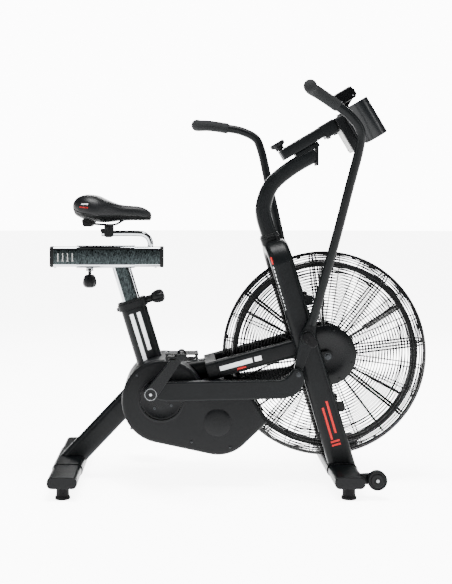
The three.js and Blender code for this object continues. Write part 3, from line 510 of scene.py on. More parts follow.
def carve(bm, tool):
    """Cuts one drawn solid out of another."""
    objects = []
    for part in (bm, tool):
        bmesh.ops.recalc_face_normals(part, faces=part.faces)
        mesh = bpy.data.meshes.new("carve")
        part.to_mesh(mesh)
        part.free()
        obj = bpy.data.objects.new("carve", mesh)
        bpy.context.scene.collection.objects.link(obj)
        objects.append(obj)
    whole, cutter = objects
    modifier = whole.modifiers.new("cut", "BOOLEAN")
    modifier.operation = "DIFFERENCE"
    modifier.solver = "EXACT"
    modifier.object = cutter
    graph = bpy.context.evaluated_depsgraph_get()
    result = bmesh.new()
    result.from_mesh(whole.evaluated_get(graph).to_mesh())
    for obj in objects:
        mesh = obj.data
        bpy.data.objects.remove(obj)
        bpy.data.meshes.remove(mesh)
    return result


SIDES = [("right", -1), ("left", 1)]


def span(side, near, far):
    return (near, far) if side > 0 else (-far, -near)


# ---------------------------------------------------------------- base
HALF_SPAN = 297
REAR_X = -574
FRONT_X = 341
WHEEL_X = 429
WHEEL_Z = 62
BAR_Z = 56


def base():
    for name, x in (("rear_stabilizer", REAR_X), ("front_stabilizer", FRONT_X)):
        bm = bmesh.new()
        extrude(bm, rounded(97, 37, 16, x, BAR_Z), -HALF_SPAN + 8, HALF_SPAN - 8)
        extrude(bm, rounded(103, 43, 19, x, BAR_Z), -130, 130)
        if x == FRONT_X:
            for _, side in SIDES:
                extrude(bm, hull([(x + 34, 59, 16), (WHEEL_X, WHEEL_Z, 16)]), *span(side, 240, 262))
        stand_in(name, "frame", "powder_coat", POWDER, bm, 1.5)
        bm = bmesh.new()
        for _, side in SIDES:
            extrude(bm, rounded(97, 37, 16, x, BAR_Z), *span(side, HALF_SPAN - 8, HALF_SPAN))
        piece(name + "_caps", "frame", "moulded_plastic", PLASTIC, bm, 2.2)
        for side_name, side in SIDES:
            end = "rear" if x == REAR_X else "front"
            bm = bmesh.new()
            profile = [(0, 0), (24.5, 0), (24.5, 7), (21.5, 10.5), (20.5, 15), (20.5, 37), (0, 37)]
            lathe(bm, profile, (x, side * 265, 0), (0, 0, 1), 40)
            foot = f"{end}_{side_name}_foot"
            stand_in(foot, "frame", "black_rubber", RUBBER, bm, 1.2)
    for side_name, side in SIDES:
        bm = bmesh.new()
        profile = [(7, -12), (20, -12), (22, -9), (27, -9), (29.5, -12), (31.5, -9), (31.5, 9), (29.5, 12),
                   (27, 9), (22, 9), (20, 12), (7, 12)]
        lathe(bm, profile, (WHEEL_X, side * 278, WHEEL_Z), (0, 1, 0), 48, closed=True)
        wheel = side_name + "_transport_wheel"
        stand_in(wheel, side_name + "_wheel", "moulded_plastic", PLASTIC, bm, 0.8)
    bm = bmesh.new()
    for _, side in SIDES:
        hex_bolt(bm, (WHEEL_X, side * 290.4, WHEEL_Z), (0, side, 0), 3.9, 1)
    piece("wheel_bolts", "frame", "zinc_steel", STEEL, bm, 0.4)


# ---------------------------------------------------------------- frame tubes
LEG_UP = Vector((-215, 728)).normalized()
SEAT_UP = Vector((-57, 186)).normalized()
SEAT_FRONT = Vector((SEAT_UP.y, -SEAT_UP.x))
SEAT_TOP = Vector((-358, 584))
RAIL_START = Vector((-71, 389))
RAIL_WAY = Vector((235, 64)).normalized()
SHELL = Vector((-261, 293))
JACK = Vector((-74, 214))
FAN = Vector((298, 430))
LEG_FOOT = Vector((FRONT_X, 77))
LEG_Y = 100.5


def on_leg(distance, across=0.0):
    """Point in the XZ plane, up the fork leg's middle line from its foot."""
    forward = Vector((LEG_UP.y, -LEG_UP.x))
    return LEG_FOOT + LEG_UP * distance + forward * across


def on_seat(up, forward=0.0):
    """Point in the XZ plane, up the seat post's middle line from the top of the seat tube."""
    return SEAT_TOP + SEAT_UP * up + SEAT_FRONT * forward


def heading(degrees):
    """Unit vector in the XZ plane."""
    return Vector((math.cos(math.radians(degrees)), math.sin(math.radians(degrees))))


def at(point, y=0.0):
    """Point of the XZ plane, moved across."""
    return Vector((point[0], y, point[1]))


def frame_tubes():
    bm = bmesh.new()
    tube(bm, on_seat(0), on_seat(-292), 90, 56, 25, steps=8)
    stand_in("seat_tube", "frame", "powder_coat", POWDER, bm, 1.5)

    bm = bmesh.new()
    tube(bm, (-290, 358.4), (-596, 36.5), 76, 50, 22, steps=8)
    bevelled = bmesh.new()
    extrude(bevelled, [(-660, -20), (-520, -20), (-520, 56), (-660, 56)], -60, 60)
    stand_in("rear_leg", "frame", "powder_coat", POWDER, carve(bm, bevelled), 1.2)

    bm = bmesh.new()
    yoke = RAIL_START - RAIL_WAY * 38
    tube(bm, (-285, 351), yoke + RAIL_WAY * 8, 64, 60, 22, steps=8)
    tube(bm, yoke, RAIL_START, 60, 220, 12)
    extrude(bm, hull([(-112, 372, 24), (JACK.x, JACK.y, 22)]), -14, 14)
    stand_in("main_tube", "frame", "powder_coat", POWDER, bm, 1.5)

    for name, side in SIDES:
        bm = bmesh.new()
        tube(bm, RAIL_START, RAIL_START + RAIL_WAY * 288, 60, 32, 12, y=side * 94)
        stand_in(name + "_rail", "frame", "powder_coat", POWDER, bm, 1.5)

        bm = bmesh.new()
        tube(bm, on_leg(696), on_leg(-20), 78, 45, 19, y=side * LEG_Y, end_width=88, steps=8)
        extrude(bm, hull([(250, 420, 18), (FAN.x, FAN.y, 18)]), *span(side, 86, 94))
        for distance in (190, 564):
            middle = on_leg(distance)
            extrude(bm, rounded(58, 34, 8, middle.x + 39, middle.y), *span(side, 72, 88))
        stand_in(name + "_fork_leg", "frame", "powder_coat", POWDER, bm, 1.5)

        bm = bmesh.new()
        profile = [(0, 121), (14, 121), (14, 126), (12, 128), (12, 150), (15.5, 151)]
        for i in range(14):
            y = 152 + i * 9.6
            profile += [(15.5, y), (15.5, y + 6.4), (14.4, y + 7.2), (14.4, y + 8.8)]
        profile += [(15.5, 288), (13, 291), (0, 291)]
        lathe(bm, profile, (223, 0, 500), (0, side, 0), 36)
        stand_in(name + "_foot_peg", "frame", "black_rubber", RUBBER, bm, 0.5)

    bm = bmesh.new()
    radius = 62
    path = []
    for side in (-1, 1):
        arc = []
        for i in range(13):
            angle = math.pi / 2 * i / 12
            across = LEG_Y - radius * (1 - math.cos(angle))
            arc.append(at(on_leg(750 - radius * (1 - math.sin(angle))), side * across))
        path += arc if side < 0 else arc[::-1]
    forward = Vector((LEG_UP.y, 0, -LEG_UP.x))
    sweep(bm, path, rounded(45, 78, 19, steps=8), forward)
    mast_foot = Vector((110, 829))
    tube(bm, mast_foot - LEG_UP * 24, mast_foot - LEG_UP * 2, 66, 66, 24, steps=8)
    stand_in("fork_crown", "frame", "powder_coat", POWDER, bm, 2)

    bm = bmesh.new()
    tube(bm, mast_foot - LEG_UP * 3, mast_foot + LEG_UP * 5, 68, 68, 25, steps=8)
    tube(bm, mast_foot + LEG_UP * 4, mast_foot + LEG_UP * 11, 62, 64, 21, steps=8)
    piece("mast_collar", "frame", "moulded_plastic", PLASTIC, bm, 2.4)

    bm = bmesh.new()
    start = mast_foot - LEG_UP * 6
    route = [(start.x, start.y), (88, 912), (94, 960), (118, 1010), (169, 1056), (215, 1086), (268, 1114.5)]
    sweep(bm, spline([(x, 0, z) for x, z in route], 8), rounded(52, 56, 15, steps=6), (0, 1, 0))
    beyond = bmesh.new()
    extrude(beyond, [(268.5, 1000), (340, 1000), (340, 1200), (268.5, 1200)], -60, 60)
    bm = carve(bm, beyond)
    extrude(bm, rounded(8, 79, 2, 272, 1114.5), -30, 30)
    tube(bm, on_boom(-182, 28), on_boom(-93, 28), 18, 48, 3)
    stand_in("console_mast", "frame", "powder_coat", POWDER, bm, 1.2)


def band(bm, start, end, y, width):
    """Painted stripe on a side face, standing 0.4 proud of it."""
    sweep(bm, [at(start, y), at(end, y)], rounded(width, 0.5, 0.2, steps=1), (0, 1, 0))


def prints():
    """Generic painted bands where such a bike carries its markings."""
    tube_face = -28.15
    rail_face = -110.15
    leg_face = -LEG_Y - 22.65
    bm = bmesh.new()
    for across, low, high in ((-13, -205, -16), (12, -150, -16)):
        band(bm, on_seat(high, across), on_seat(low, across), tube_face, 13)
    for low, high in ((6, 118), (126, 150)):
        band(bm, RAIL_START + RAIL_WAY * low, RAIL_START + RAIL_WAY * high, rail_face, 15)
    for i in range(12):
        centre = [at(on_leg(d, -32.8), -117.0) for d in (694 - 13 * i, 686 - 13 * i)]
        sweep(bm, centre, circle(1.6, 8), (0, 1, 0))
    piece("white_bands", "frame", "powder_coat", WHITE_PRINT, bm)
    bm = bmesh.new()
    for across in (-9, 9):
        band(bm, on_leg(95 + across, across), on_leg(205 + across, across), leg_face, 7)
    for distance in (66, 78):
        band(bm, on_leg(distance, -15), on_leg(distance, 15), leg_face, 6)
    below = Vector((RAIL_WAY.y, -RAIL_WAY.x)) * 16
    band(bm, RAIL_START + RAIL_WAY * 62 + below, RAIL_START + RAIL_WAY * 92 + below, rail_face, 6)
    sweep(bm, [at(on_leg(d, -32.2), -116.4) for d in (726, 702)], circle(2.8, 8), (0, 1, 0))
    piece("red_bands", "frame", "powder_coat", RED_PRINT, bm)


# ---------------------------------------------------------------- drive covers
COVER = [(-254, 283, 140), (-72, 229, 125), (86, 218, 8), (42, 286, 8), (-72, 229, 125)]
COVER_FACE = 125
COVER_EDGE = 12
PORT = 72
FAN_CLEARANCE = 356


def covers():
    for name, side in SIDES:
        opening = PORT if side < 0 else 18
        bm = bmesh.new()
        domed_slab(bm, hull(COVER, 0, 4, True), 1, COVER_FACE, COVER_EDGE)
        cavity = bmesh.new()
        extrude(cavity, hull(COVER, -6, 4, True), -5, COVER_FACE - 6)
        bm = carve(bm, cavity)
        port = bmesh.new()
        extrude(port, circle(opening, 72, SHELL.x, SHELL.y), 60, COVER_FACE + 5)
        bm = carve(bm, port)
        room = bmesh.new()
        rod(room, FAN_CLEARANCE, -5, 74, FAN.x, FAN.y, 96)
        bm = carve(bm, room)
        dome = [(46, -2), (46, 0)]
        dome += [(45 * math.cos(a), 0.2 + 6.8 * math.sin(a))
                 for a in (math.radians(9 * i) for i in range(1, 10))]
        lathe(bm, [(0, -2), *dome, (0, 7)], at(JACK, COVER_FACE), (0, 1, 0), 64)
        collar = [(opening + r, h) for r, h in ((0.1, -8), (7, -8), (7, 0.8), (5, 1.8), (0.1, 1.8))]
        lathe(bm, collar, at(SHELL, COVER_FACE), (0, 1, 0), 72, closed=True)
        if side < 0:
            mirror(bm)
        stand_in(name + "_belt_cover", "frame", "moulded_plastic", PLASTIC, bm, 0.6)
    bm = bmesh.new()
    profile = [(17, 0), (17, 4), (30, 4), (32, 2.5), (64, 2.5), (67, 3.6), (70, 3.2), (70, 0)]
    lathe(bm, profile, at(SHELL, -117.5), (0, -1, 0), 72, closed=True)
    stand_in("crank_port_plate", "frame", "moulded_plastic", SATIN, bm, 0.6)
    bm = bmesh.new()
    for i in range(4):
        hex_bolt(bm, at(SHELL + heading(55 + 90 * i) * 40, -120), (0, -1, 0), 3.6, 2.4)
    for x, z in ((-342, 372), (-160, 150), (-32, 132)):
        for _, side in SIDES:
            screw(bm, (x, side * COVER_FACE, z), (0, side, 0), 4.4, 2.6)
    piece("cover_screws", "frame", "zinc_steel", BOLT, bm, 0.3)


# ---------------------------------------------------------------- fan and cage
RIM = 349
FLAT = 285
CAGE_HALF = 70
EDGE_HALF = 8
SHOULDER = 63.0
SHOULDER_LENGTH = 99


def cage_point(distance):
    """Radius and half width of the cage at a distance along its profile from the flat's outer edge."""
    angle = min(math.pi / 2, distance / SHOULDER)
    return FLAT + (RIM - FLAT) * math.sin(angle), EDGE_HALF + (CAGE_HALF - EDGE_HALF) * math.cos(angle)


def hoop(bm, radius, y, wire, sides=120):
    path = [Vector((x, y, z)) for x, z in circle(radius, sides, FAN.x, FAN.y)]
    sweep(bm, path, circle(wire, 6), (0, 1, 0), closed=True)


def spoke(bm, angle, y_sign, wire, offset=0.0):
    """One radial wire bent over the cage's shoulder."""
    way = Vector((math.cos(angle), 0, math.sin(angle)))
    beside = Vector((-math.sin(angle), 0, math.cos(angle))) * offset
    centre = Vector((FAN.x, 0, FAN.y)) + beside
    points = [(99, CAGE_HALF - 4), (FLAT, CAGE_HALF - 4)]
    for k in range(1, 7):
        radius, half = cage_point(k / 6 * SHOULDER_LENGTH)
        points.append((radius - 3, half - 2))
    sweep(bm, [centre + way * r + Vector((0, y_sign * h, 0)) for r, h in points], circle(wire, 6))


def cage():
    for name, side in SIDES:
        bm = bmesh.new()
        for i in range(19):
            hoop(bm, 105 + i * 10, side * (CAGE_HALF - 1.8), 1.55)
        for i in range(9):
            radius, half = cage_point(i * 11)
            hoop(bm, radius - 1.8, side * (half - 0.5), 1.75)
        hoop(bm, RIM - 3, side * 4.5, 4.2)
        for i in range(8):
            base_angle = math.radians(7 + 45 * i)
            for offset in (-5, 5):
                spoke(bm, base_angle, side, 2.6, offset=offset)
            for k in (1, 2):
                spoke(bm, base_angle + math.radians(15 * k), side, 1.9)
        if side > 0:
            clip_cage(bm, hull([(JACK.x, JACK.y, 66), (FAN.x - 120, FAN.y - 70, 44)], 10))
        stand_in(name + "_guard", "frame", "powder_coat", SATIN, bm)

        bm = bmesh.new()
        profile = [(9.5, 0), (101, 0), (101, 3), (98, 4.6), (60, 4.6), (56, 3.4), (9.5, 3.4)]
        lathe(bm, profile, (FAN.x, side * 65.6, FAN.y), (0, side, 0), 72, closed=True)
        for i in range(8):
            screw(bm, at(FAN + heading(29 + 45 * i) * 88, side * 70), (0, side, 0), 3.6, 1.6)
        piece(name + "_cage_plate", "frame", "powder_coat", SATIN, bm, 0.5)
    bm = bmesh.new()
    for i in range(11):
        way = heading(7 + 32.7 * i)
        middle = FAN + way * (RIM - 4)
        sweep(bm, [at(middle - way * 8), at(middle + way * 3.9)], rounded(13, 19, 3, steps=3), (0, 1, 0))
    piece("cage_clips", "frame", "moulded_plastic", PLASTIC, bm, 1.0)
    bm = bmesh.new()
    for _, side in SIDES:
        hex_bolt(bm, (FAN.x, side * 94.4, FAN.y), (0, side, 0), 9, 6)
    rod(bm, 6, -102, 102, FAN.x, FAN.y)
    stand_in("fan_axle", "frame", "zinc_steel", BOLT, bm, 0.5)


def clip_cage(bm, outline):
    """Leaves out the wires where the fan belt passes in."""
    def inside(x, z):
        odd = False
        for (x0, z0), (x1, z1) in zip(outline, outline[1:] + outline[:1]):
            if (z0 > z) != (z1 > z) and x < (x1 - x0) * (z - z0) / (z1 - z0) + x0:
                odd = not odd
        return odd
    doomed = [v for v in bm.verts if v.co.y > 44 and inside(v.co.x, v.co.z)]
    bmesh.ops.delete(bm, geom=doomed, context="VERTS")
    holes = [e for e in bm.edges if len(e.link_faces) == 1]
    bmesh.ops.holes_fill(bm, edges=holes, sides=12)


def fan():
    bm = bmesh.new()
    centre = (FAN.x, 0, FAN.y)
    hub = [(8.5, -39), (45, -39), (45, -33), (34, -28), (34, 28), (45, 33), (45, 39), (8.5, 39)]
    lathe(bm, hub, centre, (0, 1, 0), 56, closed=True)
    lathe(bm, [(30, -3), (96, -3), (96, 3), (30, 3)], centre, (0, 1, 0), 64, closed=True)
    rim = [(298, -12), (316, -12), (317, -10), (317, 10), (316, 12), (298, 12)]
    lathe(bm, rim, centre, (0, 1, 0), 128, closed=True)
    for i in range(6):
        way = heading(32 + 60 * i)
        sweep(bm, [at(FAN + way * 84), at(FAN + way * 172)], rounded(6.4, 22, 2, steps=2), (0, 1, 0))
        sweep(bm, [at(FAN + way * 163), at(FAN + way * 300)], rounded(3.2, 88, 1.2, steps=2), (0, 1, 0))
        for y in (-30, 30):
            rib = [at(FAN + way * 168, y), at(FAN + way * 294, y)]
            sweep(bm, rib, rounded(7, 5, 2, steps=2), (0, 1, 0))
    stand_in("fan_wheel", "fan", "powder_coat", SATIN, bm, 0.6)


# ---------------------------------------------------------------- drive
# The push rod's outline from its eye, along the underside, round the nose and the lug, and back.
ROD_OUTLINE = [
    (11, -18), (17, -19), (33, -24.5), (55, -27), (408, -19), (440, -17), (466, -10), (482, 0),
    (494, 13), (501, 29), (503, 47), (501, 65), (494, 76), (485, 80), (474, 80), (466, 75),
    (458, 64), (448, 53), (436, 46), (421, 43.5), (55, 37.5), (37, 33), (20, 22), (11, 18),
]


def pin_centre(side):
    return SHELL + heading(140) * (-side * 44)


def pedal_centre(side):
    return SHELL + Vector((67.5, 162)) * -side


def drive():
    bm = bmesh.new()
    rod(bm, 14, -140, 140, SHELL.x, SHELL.y)
    for _, side in SIDES:
        pin = pin_centre(side)
        extrude(bm, hull([(SHELL.x, SHELL.y, 26), (pin.x, pin.y, 22)]), *span(side, 132, 150))
        rod(bm, 12, *span(side, 145, 203), pin.x, pin.y)
    stand_in("crankshaft", "crank", "zinc_steel", SATIN, bm, 1.2)

    for name, side in SIDES:
        pin = pin_centre(side)
        pedal = pedal_centre(side)
        bm = bmesh.new()
        extrude(bm, hull([(pin.x, pin.y, 22), (pedal.x, pedal.y, 14)]), *span(side, 187, 205))
        stand_in(name + "_crank_arm", "crank", "powder_coat", SATIN, bm, 2.6, segments=4)
        bm = bmesh.new()
        lathe(bm, [(18.2, 0), (19.4, 0), (19.4, 0.7), (18.8, 1), (18.2, 0.7)], at(pin, side * 204.9),
              (0, side, 0), 64, closed=True)
        lathe(bm, [(0, -0.5), (5, -0.5), (5, 2), (3.6, 3), (0, 3)], at(pin, side * 204.6), (0, side, 0), 24)
        rod(bm, 6.5, *span(side, 200, 288), pedal.x, pedal.y)
        piece(name + "_crank_bolts", "crank", "zinc_steel", STEEL, bm, 0.6)

        bm = bmesh.new()
        turn = math.radians(6.5) if side > 0 else 0.0
        outline = []
        for x, z in ROD_OUTLINE:
            outline.append((pin.x + x * math.cos(turn) - z * math.sin(turn),
                            pin.y + x * math.sin(turn) + z * math.cos(turn)))
        extrude(bm, outline, *span(side, 153, 182))
        rod(bm, 21, *span(side, 153, 182), pin.x, pin.y, 48)
        stand_in(name + "_push_rod", name + "_rod", "powder_coat", POWDER, bm, 6, segments=5)
        bm = bmesh.new()
        lug = pin + Matrix.Rotation(turn, 2) @ Vector((484.7, 60.7))
        hex_bolt(bm, at(lug, side * 182), (0, side, 0), 6, 2.6)
        piece(name + "_rod_bolt", name + "_rod", "zinc_steel", BOLT, bm, 0.5)

        pedal_piece(name, side, pedal)


def pedal_piece(name, side, centre):
    """Cage pedal: a barrel, two slotted side plates, and toothed front and rear bars."""
    x, z = centre
    bm = bmesh.new()
    barrel = [(0, 0), (15.5, 0), (15.5, 6), (12, 9), (10.5, 20), (10.5, 66), (12.5, 72), (12.5, 82),
              (9, 86), (0, 86)]
    lathe(bm, barrel, (x, side * 210.5, z), (0, side, 0), 48)
    slots = []
    for direction in (-1, 1):
        for height in (-5.2, 5.2):
            slots.append(rounded(27, 5.4, 2.2, x + direction * 29.5, z + height, steps=3))
    for near, far in ((212, 216), (291, 295.5)):
        extrude(bm, rounded(100, 22, 6, x, z), *span(side, near, far), slots)
    for direction in (-1, 1):
        extrude(bm, rounded(7, 24, 3, x + direction * 48, z), *span(side, 210.5, 296.5))
        for height in (-9.4, 9.4):
            extrude(bm, rounded(30, 3.2, 1.4, x + direction * 28, z + height, steps=3),
                    *span(side, 214, 293))
    stand_in(name + "_pedal", name + "_pedal", "moulded_plastic", SATIN, bm, 0.8)
    bm = bmesh.new()
    for direction in (-1, 1):
        for i in range(7):
            y = side * (217 + i * 12)
            for height in (9.4, -9.4):
                extrude(bm, rounded(7.5, 5, 1.5, x + direction * 49.6, z + height, steps=3), y - 3, y + 3)
    piece(name + "_pedal_treads", name + "_pedal", "cast_aluminium", ALUMINIUM, bm, 0.6)


# ---------------------------------------------------------------- handles
PIVOT = Vector((223, 500))
HANDLE = [
    (240, -138, 548), (252, -147, 596), (311, -180, 824), (351, -200, 989), (386, -214, 1136),
    (387, -220, 1178), (352, -228, 1226), (304, -235, 1262), (250, -241, 1298), (222, -256, 1313),
    (214, -287, 1322),
]
HANDLE_RADIUS = 15
GRIP_RADIUS = 20
LEFT_SWING = 25.5


def handles():
    curve = spaced(spline(HANDLE, 14), 120)
    for name, side in SIDES:
        def settle(bm):
            if side > 0:
                mirror(bm)
                turn_about(bm, PIVOT, LEFT_SWING)
            return bm
        body = name + "_arm"
        bm = bmesh.new()
        hub = [(12.6, -25.5), (22, -25.5), (23.5, -20), (23.5, -4), (22, -0.5), (12.6, -0.5)]
        lathe(bm, hub, at(PIVOT, -126.5), (0, 1, 0), 48, closed=True)
        extrude(bm, hull([(PIVOT.x, PIVOT.y, 23), (190, 382, 13)]), -147, -130)
        extrude(bm, hull([(PIVOT.x, PIVOT.y, 23), (243, 560, 13)]), -147, -130)
        round_tube(bm, curve[:104], HANDLE_RADIUS, 32, ends=True)
        stand_in(name + "_handle_arm", body, "powder_coat", POWDER, settle(bm), 1.6)
        bm = bmesh.new()
        path = spaced(curve, 26, 0.84, 0.985)
        dome = [(14 * math.sin(a), math.cos(a)) for a in (math.radians(15 * i) for i in range(1, 7))]
        out = (path[-1] - path[-2]).normalized()
        scales = [0.86, 0.95] + [0.96 + 0.14 * (i / len(path)) ** 3 for i in range(2, len(path))]
        scales += [1.1 * scale for _, scale in dome[:-1]] + [0]
        path += [path[-1] + out * far for far, _ in dome]
        sweep(bm, path, circle(GRIP_RADIUS, 36), scales=scales)
        stand_in(name + "_grip", body, "foam_grip", FOAM, settle(bm), 0.8, limit=50)


# ---------------------------------------------------------------- seat
SLIDER_Z = 761
KNOB = [(0, 0), (13, 0), (16.5, 3), (20, 9), (22.5, 16), (24, 26), (23.4, 34), (19.5, 41), (11, 45),
        (0, 46)]


def paint_flank_reflection(obj):
    """Painted reflection: the flat flanks get a dark mottled chrome standing in for the dark studio they
    would mirror; the rounded corners keep the bright chrome.
    """
    obj.data.materials.append(CHROME_PAINTED_REFLECTION)
    for face in obj.data.polygons:
        if abs(face.normal.y) > 0.99:
            face.material_index = 1


def knob(bm, origin, axis):
    lathe(bm, [(0, -24), (6, -24), (6, 0), (0, 0)], origin, axis, 20)
    lathe(bm, KNOB, origin, axis, 72, lobes=6, depth=2.8)


def seat():
    forward = at(SEAT_FRONT)
    bm = bmesh.new()
    tube(bm, on_seat(0.3), on_seat(24), 104, 68, 28, steps=8)
    tube(bm, on_seat(23), on_seat(31), 98, 62, 25, steps=8)
    lathe(bm, [(0, 0), (13, 0), (13, 34), (0, 34)], at(on_seat(15, 34)), forward, 40)
    lathe(bm, [(0, 0), (7, 0), (7, 11), (5, 12), (0, 12)], at(on_seat(10, -46)), -forward, 24)
    stand_in("seat_tube_collar", "frame", "moulded_plastic", PLASTIC, bm, 2)
    bm = bmesh.new()
    knob(bm, at(on_seat(15, 68.5)), forward)
    stand_in("seat_height_knob", "height_knob", "moulded_plastic", PLASTIC, bm)

    bm = bmesh.new()
    tube(bm, on_seat(158), on_seat(-85), 62, 40, 14, steps=6)
    sleeve = rounded(78, 53, 16, steps=7)
    inner = rounded(71, 45, 13, steps=7)
    shell_along(bm, sleeve, inner, -555, -354, SLIDER_Z)
    lathe(bm, [(0, 0), (13, 0), (11.5, 10), (0, 10)], (-510.5, 0, 712), (0, 0, 1), 40)
    paint_flank_reflection(stand_in("seat_post", "seat_post", "chrome_plate", CHROME, bm, 0.7))
    bm = bmesh.new()
    knob(bm, (-510.5, 0, 699), (0, 0, -1))
    stand_in("seat_slide_knob", "slide_knob", "moulded_plastic", PLASTIC, bm)

    bm = bmesh.new()
    tube(bm, (-640, SLIDER_Z), (-262, SLIDER_Z), 70, 44, 12.5, steps=6)
    for x in (-630, -283):
        lathe(bm, [(0, 0), (4, 0), (4, 6), (0, 6)], (x, 0, 728), (0, 0, -1), 20)
    paint_flank_reflection(stand_in("seat_slider", "slider", "chrome_plate", CHROME, bm, 0.7))
    bm = bmesh.new()
    for rear, front in ((-647, -633), (-269, -255)):
        tube(bm, (rear, SLIDER_Z), (front, SLIDER_Z), 73, 47, 13.5, steps=6)
    piece("slider_caps", "slider", "moulded_plastic", PLASTIC, bm, 4, segments=5)
    bm = bmesh.new()
    for i in range(4):
        x = -618 + i * 16.5
        for wide, high, z in ((3.4, 26, SLIDER_Z), (8, 2.4, SLIDER_Z - 14)):
            extrude(bm, rounded(wide, high, 0.8, x, z, steps=1), -22.35, -21.9)
    piece("slider_scale", "slider", "chrome_plate", GREY, bm)

    bm = bmesh.new()
    route = [(-301, 794), (-301, 808), (-308, 826), (-324, 838), (-344, 841), (-470, 841)]
    sweep(bm, spline([(x, 0, z) for x, z in route], 8), circle(10, 32), (0, 1, 0))
    stand_in("saddle_post", "slider", "chrome_plate", CHROME, bm, 0.5)
    bm = bmesh.new()
    extrude(bm, hull([(-450, 838, 10), (-438, 838, 10), (-438, 863, 10), (-450, 863, 10)]), -16, 16)
    extrude(bm, rounded(24, 12, 3, -461, 852), -9, 9)
    for _, side in SIDES:
        hex_bolt(bm, (-450, side * 27, 862), (0, side, 0), 6, 3)
    rod(bm, 4, -28, 28, -450, 862)
    stand_in("saddle_clamp", "slider", "powder_coat", SATIN, bm, 1.2)

    bm = bmesh.new()
    for _, side in SIDES:
        route = [(-520, 28, 878), (-480, 23, 873), (-440, 22, 871), (-420, 21, 873),
                 (-398, 19, 885), (-384, 17, 893)]
        sweep(bm, spline([(x, side * y, z) for x, y, z in route], 8), circle(3.5, 12))
        rod(bm, 9, *span(side, 17.5, 26.5), -450, 862, 32)
    stand_in("saddle_rails", "saddle", "powder_coat", SATIN, bm, 0.6)
    bm = bmesh.new()
    extrude(bm, hull([(-525, 872, 7), (-505, 872, 7), (-496, 885, 7), (-528, 885, 7)]), -34, 34)
    for _, side in SIDES:
        for x in (-523, -506):
            stud = [(0, 0), (5.5, 0), (5.5, 1.5), (4, 2.4), (0, 2.4)]
            lathe(bm, stud, (x, side * 34, 877), (0, side, 0), 24)
    piece("saddle_bumper", "saddle", "black_rubber", RUBBER, bm, 1.6)
    saddle()


def shell_along(bm, outer, inner, x0, x1, z):
    """Open box section along X, walled between two outlines."""
    rings = []
    for x, outline in ((x0, outer), (x1, outer), (x1, inner), (x0, inner)):
        rings.append([bm.verts.new((x, b, z + a)) for a, b in outline])
    skin(bm, rings, closed=True)


def sheet(bm, rows):
    """Open surface through rows of vertices."""
    for a, b in zip(rows, rows[1:]):
        for i in range(len(a) - 1):
            bm.faces.new((a[i], a[i + 1], b[i + 1], b[i]))


# Stations from tail to nose: x, half width, top, widest level, underside.
SADDLE = [
    (-564, 30, 950, 934, 918), (-559, 48, 958, 931, 908), (-549, 66, 967, 927, 901),
    (-532, 84, 974, 921, 893), (-514, 93, 977, 919, 889), (-496, 96, 976, 917, 884),
    (-476, 92, 972, 916, 881), (-455, 80, 962, 915, 880), (-432, 64, 952, 914, 882),
    (-410, 51, 944, 914, 885), (-388, 41, 940, 913, 886), (-364, 34, 938, 912, 887),
    (-342, 30, 936, 910, 887), (-324, 27, 931, 907, 887), (-312, 24, 925, 906, 887),
    (-304, 20, 919, 904, 887), (-299, 15, 914, 903, 889),
]


def saddle_ring(station, count, low, high, grow=0.0):
    """Cross-section from one underside corner over the top to the other; low and high are angles."""
    x, half, top, middle, bottom = station
    ring = []
    wide = max(0.0, min(1.0, (half - 30) / 60))
    for i in range(count):
        angle = low + (high - low) * i / (count - 1)
        c, s = math.cos(angle), math.sin(angle)
        y = (half + grow) * math.copysign(abs(c) ** 0.66, c)
        rise = abs(s) ** 0.84 * (top - middle if s > 0 else middle - bottom)
        z = middle + math.copysign(rise, s)
        if s > 0:
            z -= 7 * wide * math.exp(-((y / 15) ** 2))
            z -= 2.0 * (1 - wide) * math.exp(-((y / 9) ** 2))
        z += grow * (1 if s > 0 else -1) * abs(s)
        ring.append((x, y, z))
    return ring


